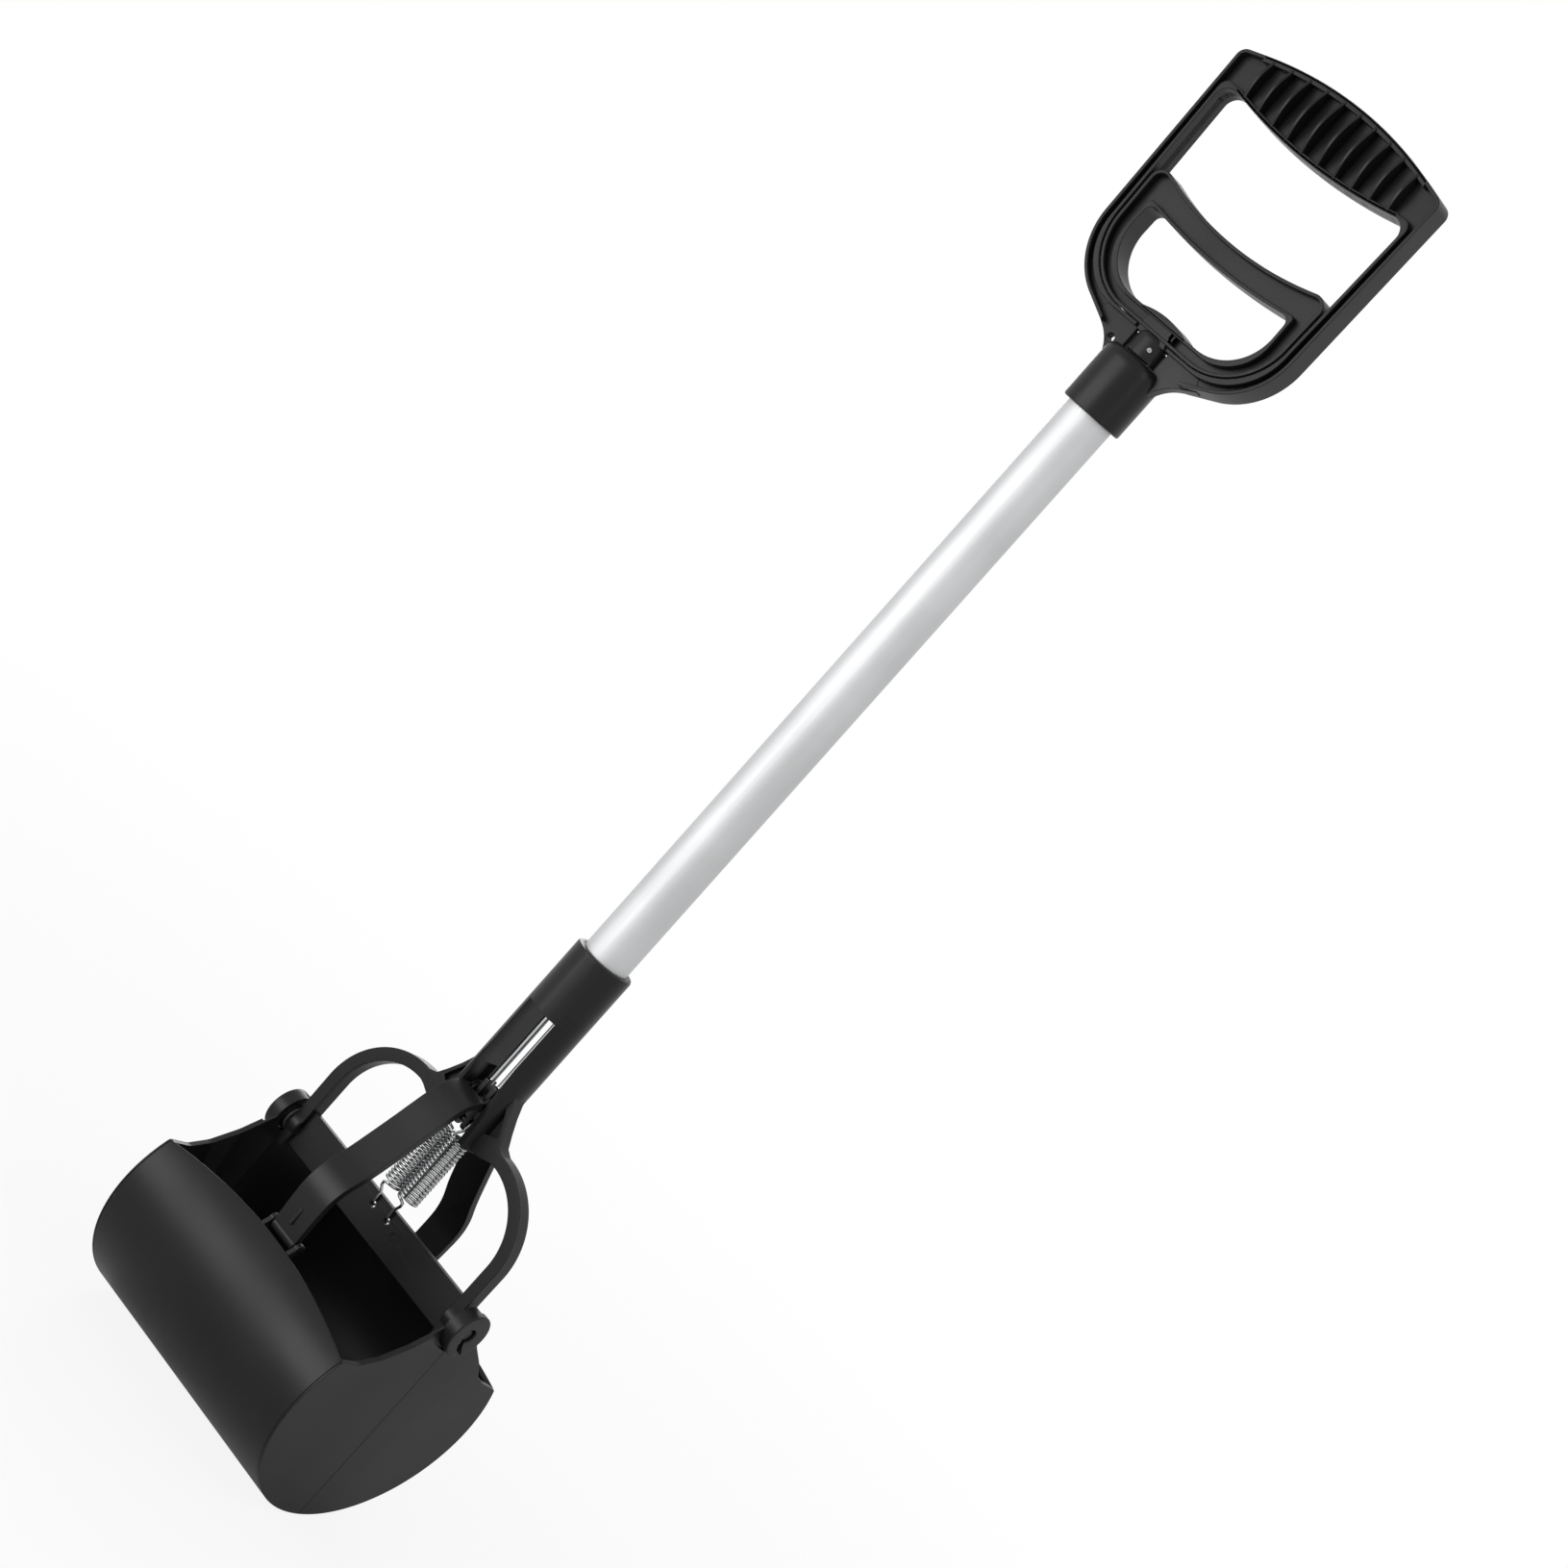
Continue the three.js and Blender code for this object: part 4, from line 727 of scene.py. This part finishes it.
def jaw(name, side, s):
    parts = [jawWall(name, side, s)]
    top = [tuple(p) for p in arcs(s["frontTop"] if side < 0 else s["backTop"])]
    pivotY, pivotZ, pivotR = s["pivot"]
    cutX, cutR, cutWidth = s["earCut"]
    inward = s["cheekInset"]
    for sign in (-1, 1):
        # the end is a thin plate that closes the wall flush, on a thicker panel inside the wall
        for (inner, outer, edge), depth in [(s["lip"], 0.0), (s["panel"], s["panelInset"])]:
            outline = onSide(side, top + bowlLine(s, s["bowlTop"], depth))
            end = plate("jawEnd", [outline], "yz", *sorted((sign * inner, sign * outer)), edge)
            if side < 0:
                clearSelection()
                bpy.ops.mesh.primitive_cylinder_add(vertices=96, radius=cutR * mm, depth=cutWidth * mm,
                                                    rotation=(0, math.pi / 2, 0),
                                                    location=(sign * cutX * mm, 0, hingeZ * mm))
                cut(end, bpy.context.active_object)
                settle(end)
            parts.append(end)
        low, high = sorted(sign * x for x in s["cheek"])
        foot = [(pivotY + pivotR - inward, pivotZ)] + s["cheekFoot"] + [(pivotY - pivotR + inward, pivotZ)]
        parts.append(plate("cheek", [ringPoints(side * pivotY, pivotZ, pivotR, 40)], "yz", low, high))
        parts.append(plate("cheekFoot", [onSide(side, foot)], "yz", low + inward / 2, high - inward / 2, edge=0.3))
    return parts


lugSettings = {
    "radius": 10.8, "inner": 65.7, "outer": 69.43, "pinHole": 3.3, "pinShift": 0.4,
    "ear": 7.0, "earX": (62.8, 65.25), "earGap": 7.6, "ringX": (62.8, 66.5), "ringArc": (92, 176),
    # the slot that snaps on the pin, and the recess beside the lug, as offsets from the hinge
    "slot": [(0.0, -2.6), (0.0, -3.9), (1.7, -6.0), (5.6, -10.3), (3.5, -11.4), (-0.4, -7.7), (-2.6, -4.9),
             (-2.7, -1.6)],
    "recess": [(-17, -1.5), (-14.4, -6.9), (-12.6, -8.2), (-9.1, -9.6), (-5.5, -10.8), (-2.1, -11.6), (-0.6, -12.0),
               (-0.6, 3)],
    "recessDepth": 1.4,
}


def fromHinge(pairs):
    return [Vector((a, hingeZ + b)) for a, b in pairs]


def frontJaw(s, lug):
    parts = jaw("frontJaw", -1, s)
    for end in [part for part in parts if part.name.startswith("jawEnd")]:
        sign = math.copysign(1, end.data.vertices[0].co.x)
        faces = sorted((sign * (s["half"] - lug["recessDepth"]), sign * (s["half"] + 1)))
        cut(end, plate("cutter", [fromHinge(lug["recess"])], "yz", *faces, edge=0))
        settle(end)
    radius, gap, shift = lug["radius"], lug["earGap"], lug["pinShift"]
    first, sweep = lug["ringArc"]
    for sign in (-1, 1):
        low, high = sorted((sign * lug["inner"], sign * lug["outer"]))
        rings = [ringPoints(0, hingeZ, radius, 96), ringPoints(-shift, hingeZ + shift, lug["pinHole"], 40)]
        disc = plate("lug", rings, "yz", low, high, edge=0.7)
        cut(disc, plate("cutter", [fromHinge(lug["slot"])], "yz", low - 1, high + 1, edge=0))
        roundEdges(disc, 0.25, segments=2, angle=60, clamp=False)
        settle(disc)
        parts.append(disc)
        # the ring under the lug stands on the end plate, clear of the back jaw's ear
        arc = [math.radians(first + sweep * k / 48) for k in range(49)]
        ring = [Vector((radius * math.cos(t), hingeZ + radius * math.sin(t))) for t in arc]
        ring += [Vector((gap * math.cos(t), hingeZ + gap * math.sin(t))) for t in reversed(arc)]
        low, high = sorted(sign * x for x in lug["ringX"])
        parts.append(plate("lugRing", [ring], "yz", low, high, edge=0.2))
    return joinAll("frontJaw", parts)


def backJaw(s, lug):
    parts = jaw("backJaw", 1, s)
    for sign in (-1, 1):
        low, high = sorted(sign * x for x in lug["earX"])
        ear = [ringPoints(0, hingeZ, lug["ear"], 72), ringPoints(0, hingeZ, lug["pinHole"], 32)]
        parts.append(plate("ear", ear, "yz", low, high, edge=0.4))
    return joinAll("backJaw", parts)


finishPiece(frontJaw(jawSettings, lugSettings), blackPlastic, "black_plastic", "jaw_front", "front_jaw")
finishPiece(backJaw(jawSettings, lugSettings), blackPlastic, "black_plastic", "jaw_back", "back_jaw")


armSettings = {
    "path": [(48.9, -601.6), (50.1, -589), (50.2, -579), (47.5, -570.6), (41, -560.4), (32, -543.2),
             (24.2, -526.8), (19.2, -518.8), (12.5, -515.2), (8.2, -514.9)],
    "thick": 3.5, "endHalf": 7.5, "middleHalf": 8.4, "taper": 0.8,
    "barrel": (1.5, 2.7), "barrelChamfer": 0.5, "pivot": (46.4, -602.6),
    "bead": [(-0.9, -597.5, 0.8), (0.9, -597.5, 0.8), (0.9, -589.2, 0.8), (-0.9, -589.2, 0.8)], "beadY": (48.2, 50.6),
    "eye": (5, 4.6), "eyeZ": -517, "eyeLink": [(3.6, -515), (10, -514.95), (10, -518.3), (3.6, -519.4)],
    "slot": [(-3.5, -518.65, 1.5), (2.3, -518.65, 1.5), (2.3, -514.25, 1.5), (-3.5, -514.25, 1.5)],
}


# a curve through all the points, with even steps between each two
def smoothPath(points, perSpan=10):
    ends = [points[0]] + list(points) + [points[-1]]
    path = []
    for i in range(1, len(ends) - 2):
        a, b, c, d = [Vector(p) for p in ends[i - 1:i + 3]]
        for k in range(perSpan):
            u = k / perSpan
            path.append(0.5 * ((2 * b) + (c - a) * u + (2 * a - 5 * b + 4 * c - d) * u * u
                               + (3 * b - a - 3 * c + d) * u ** 3))
    path.append(Vector(points[-1]))
    return path


def linkArm(name, side, fork, s):
    path = smoothPath(s["path"])
    count = len(path) - 1
    half = s["endHalf"]
    clearSelection()
    bpy.ops.mesh.primitive_grid_add(x_subdivisions=8, y_subdivisions=count, size=2, location=(0, 0, 0))
    strap = bpy.context.active_object
    strap.name = name
    for v in strap.data.vertices:
        k = round((v.co.y + 1) / 2 * count)
        p = path[k]
        width = half + (s["middleHalf"] - half) * math.sin(math.pi * k / count) ** s["taper"]
        v.co = (v.co.x * width * mm, side * p[0] * mm, p[1] * mm)
    settle(strap)
    if sum(f.normal.y * side for f in strap.data.polygons) < 0:
        turnOver(strap)
    thicken(strap, s["thick"], even=True)
    roundEdges(strap, 0.5, segments=3, angle=50)
    inner, outer = s["barrel"]
    c = s["barrelChamfer"]
    barrel = [(inner, -half), (outer - c, -half), (outer, c - half), (outer, half - c), (outer - c, half),
              (inner, half)]
    pivotY, pivotZ = s["pivot"]
    parts = [strap, turned("barrel", barrel, "x", (0, side * pivotY, pivotZ), 40)]
    parts.append(plate("bead", [arcs(s["bead"])], "xz", *sorted(side * y for y in s["beadY"]), edge=0.5))
    reachY, reachZ = s["eye"]
    for sign in (-1, 1):
        low, high = sorted(sign * x for x in fork)
        eye = [Vector((reachY * math.cos(a), s["eyeZ"] + reachZ * math.sin(a)))
               for a in [2 * math.pi * k / 48 for k in range(48)]]
        parts.append(plate("eye", [eye, onSide(side, arcs(s["slot"]))], "yz", low, high, edge=0.3))
        parts.append(plate("eyeLink", [onSide(side, s["eyeLink"])], "yz", low, high, edge=0.25))
    return joinAll(name, parts)


finishPiece(linkArm("frontArm", -1, (5.9, 7.1), armSettings), blackPlastic, "black_plastic", "arm_front", "front_arm")
finishPiece(linkArm("backArm", 1, (4.3, 5.6), armSettings), blackPlastic, "black_plastic", "arm_back", "back_arm")


springSettings = {
    "x": 5.2, "coil": 4.3, "wire": 0.69, "top": -535.2, "turns": 20, "pitch": 1.75, "steps": 24,
    "hook": 2.4, "pinZ": -528.5, "holeZ": -582,
    # bends of the wire as (outward, y, height): by the coil's top, below the coil, and through the crossbar
    "hookTip": [(0, 3.7, 2)], "upperLeg": [(0, -3.3, 4), (-1.2, -3.75, 2.1), (-1.7, -3.95, 0.9)],
    "lowerLeg": [(1.7, -3.95, -0.9), (1.6, -3.6, -2.6), (0, -2.7, -5.4)],
    "lowerHook": [(0, -2.7, 1.5), (0, -2.1, 0.3), (0, -0.8, 0), (0, 3.55, 0)],
}


def springWire(name, side, s):
    x = side * s["x"]
    hook, top, coil, steps = s["hook"], s["top"], s["coil"], s["steps"]

    def bends(offsets, level):
        return [Vector((x + side * a, b, level + c)) for a, b, c in offsets]

    path = bends(s["hookTip"], top)
    halfTurn = [math.pi * k / 12 for k in range(13)]
    path += [Vector((x, hook * math.cos(a), s["pinZ"] + hook * math.sin(a))) for a in halfTurn]
    path += bends(s["upperLeg"], top)
    for k in range(s["turns"] * steps + 1):
        a = -math.pi / 2 + side * 2 * math.pi * k / steps
        path.append(Vector((x + coil * math.cos(a), coil * math.sin(a), top - s["pitch"] * k / steps)))
    path += bends(s["lowerLeg"], top - s["pitch"] * s["turns"]) + bends(s["lowerHook"], s["holeZ"])
    curve = bpy.data.curves.new(name, "CURVE")
    curve.dimensions = "3D"
    curve.bevel_depth = s["wire"] * mm
    curve.bevel_resolution = 2
    curve.use_fill_caps = True
    spline = curve.splines.new("POLY")
    spline.points.add(len(path) - 1)
    for spot, p in zip(spline.points, path):
        spot.co = (p.x * mm, p.y * mm, p.z * mm, 1)
    obj = bpy.data.objects.new(name, curve)
    bpy.context.scene.collection.objects.link(obj)
    pick(obj)
    bpy.ops.object.convert(target="MESH")
    obj = bpy.context.active_object
    settle(obj, 50)
    return obj


for name, side, node in [("springLeftWire", -1, "spring_left"), ("springRightWire", 1, "spring_right")]:
    wire = finishPiece(springWire(name, side, springSettings), springSteel, "spring_steel", None, node)
    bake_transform(wire)


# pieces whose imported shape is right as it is
keptNodes = [
    (springSteel, ["stem_pin"]),
    (darkSteel, ["arm_pivot_pin", "spring_pin", "front_rim_pin", "back_rim_pin", "pivot_pin_left", "pivot_pin_right"]),
    (guidePlastic, ["rod_guide_upper", "rod_guide_lower", "pivot_washer_left", "pivot_washer_right"]),
]
for material, names in keptNodes:
    for node in names:
        nodes[node].data.materials.clear()
        nodes[node].data.materials.append(material)
print("pieces done")


stageSettings = {
    "floorZ": -0.6912, "floorSize": 8, "worldLight": 0.4,
    # the share of plain white near the object, and the distance where it is full
    "floorGlow": (0.88, 0.9), "floorMirror": (0.2, 1.3), "fadeStart": 0.1,
    "lamps": [  # name, place, aimed at, size, watts
        ("keyLamp", (-0.55, -1.45, -0.27), (0, 0, -0.42), (1.4, 0.76), 15),
        ("sideLamp", (1.6, -0.4, 0.5), (0, 0, -0.35), (0.3, 1.2), 3),
        ("rimLamp", (-1.0, 1.2, 0.2), (0, 0, -0.3), (0.4, 1.0), 6),
    ],
}


# 1 for rays that show the background itself, 0 for rays that light the object
def backgroundRays(tree):
    rays = tree.nodes.new("ShaderNodeLightPath").outputs
    shown = mathNode(tree, "MAXIMUM", rays["Is Camera Ray"], rays["Is Glossy Ray"])
    return mathNode(tree, "MAXIMUM", shown, rays["Is Transmission Ray"])


def studioSky(s):
    world = bpy.data.worlds.new("studio")
    bpy.context.scene.world = world
    world.use_nodes = True
    tree = world.node_tree
    soft = tree.nodes["Background"]
    white = tree.nodes.new("ShaderNodeBackground")
    for background, strength in [(soft, s["worldLight"]), (white, 1)]:
        background.inputs["Color"].default_value = (1, 1, 1, 1)
        background.inputs["Strength"].default_value = strength
    mix = tree.nodes.new("ShaderNodeMixShader")
    tree.links.new(backgroundRays(tree), mix.inputs["Fac"])
    tree.links.new(soft.outputs["Background"], mix.inputs[1])
    tree.links.new(white.outputs["Background"], mix.inputs[2])
    tree.links.new(mix.outputs["Shader"], tree.nodes["World Output"].inputs["Surface"])


# pale card that takes the shadow near the object and runs out into plain white further away
def floorCard(s):
    material, tree, card = newMaterial("floorPaint")
    card.inputs["Base Color"].default_value = (0.92, 0.92, 0.92, 1)
    card.inputs["Roughness"].default_value = 0.9
    card.inputs["Specular IOR Level"].default_value = 0.1
    glow = tree.nodes.new("ShaderNodeEmission")
    glow.inputs["Strength"].default_value = 1
    place = tree.nodes.new("ShaderNodeTexCoord")
    distance = tree.nodes.new("ShaderNodeVectorMath")
    distance.operation = "LENGTH"
    tree.links.new(place.outputs["Object"], distance.inputs[0])
    rays = tree.nodes.new("ShaderNodeLightPath").outputs
    seen = mathNode(tree, "MAXIMUM", rays["Is Camera Ray"], rays["Is Transmission Ray"])
    shares = []
    for (near, far), source in [(s["floorGlow"], seen), (s["floorMirror"], rays["Is Glossy Ray"])]:
        fade = rangeNode(tree, (s["fadeStart"], far), (near, 1))
        tree.links.new(distance.outputs["Value"], fade.inputs["Value"])
        shares.append(mathNode(tree, "MULTIPLY", fade.outputs["Result"], source))
    mix = tree.nodes.new("ShaderNodeMixShader")
    tree.links.new(mathNode(tree, "MAXIMUM", *shares), mix.inputs["Fac"])
    tree.links.new(card.outputs["BSDF"], mix.inputs[1])
    tree.links.new(glow.outputs["Emission"], mix.inputs[2])
    tree.links.new(mix.outputs["Shader"], tree.nodes["Material Output"].inputs["Surface"])
    return material


studioSky(stageSettings)

clearSelection()
bpy.ops.mesh.primitive_plane_add(size=stageSettings["floorSize"], location=(0, 0, stageSettings["floorZ"]))
floor = bpy.context.active_object
floor.name = "floor"
floor.data.materials.append(floorCard(stageSettings))

for name, place, aim, size, watts in stageSettings["lamps"]:
    clearSelection()
    bpy.ops.object.light_add(type="AREA", location=place)
    lamp = bpy.context.active_object
    lamp.name = name
    lamp.data.shape = "RECTANGLE"
    lamp.data.size, lamp.data.size_y = size
    lamp.data.energy = watts
    lamp.rotation_euler = (Vector(aim) - Vector(place)).to_track_quat("-Z", "Y").to_euler()

# place and turn found by fitting measured points of the photograph
cameraSettings = {
    "place": (0.69540, -1.21299, -0.14641), "sensor": 36, "lens": 79.86, "clip": (0.05, 20),
    "turn": ((0.605487, -0.627954, 0.488937), (0.446067, -0.241014, -0.861937), (0.659098, 0.739991, 0.134179)),
}
camData = bpy.data.cameras.new("camera")
camera = bpy.data.objects.new("camera", camData)
bpy.context.scene.collection.objects.link(camera)
bpy.context.scene.camera = camera
camData.sensor_width = cameraSettings["sensor"]
camData.lens = cameraSettings["lens"]
camData.clip_start, camData.clip_end = cameraSettings["clip"]
camera.matrix_world = Matrix.Translation(cameraSettings["place"]) @ Matrix(cameraSettings["turn"]).to_4x4()
bpy.context.scene.view_settings.view_transform = "Standard"
print("stage set")
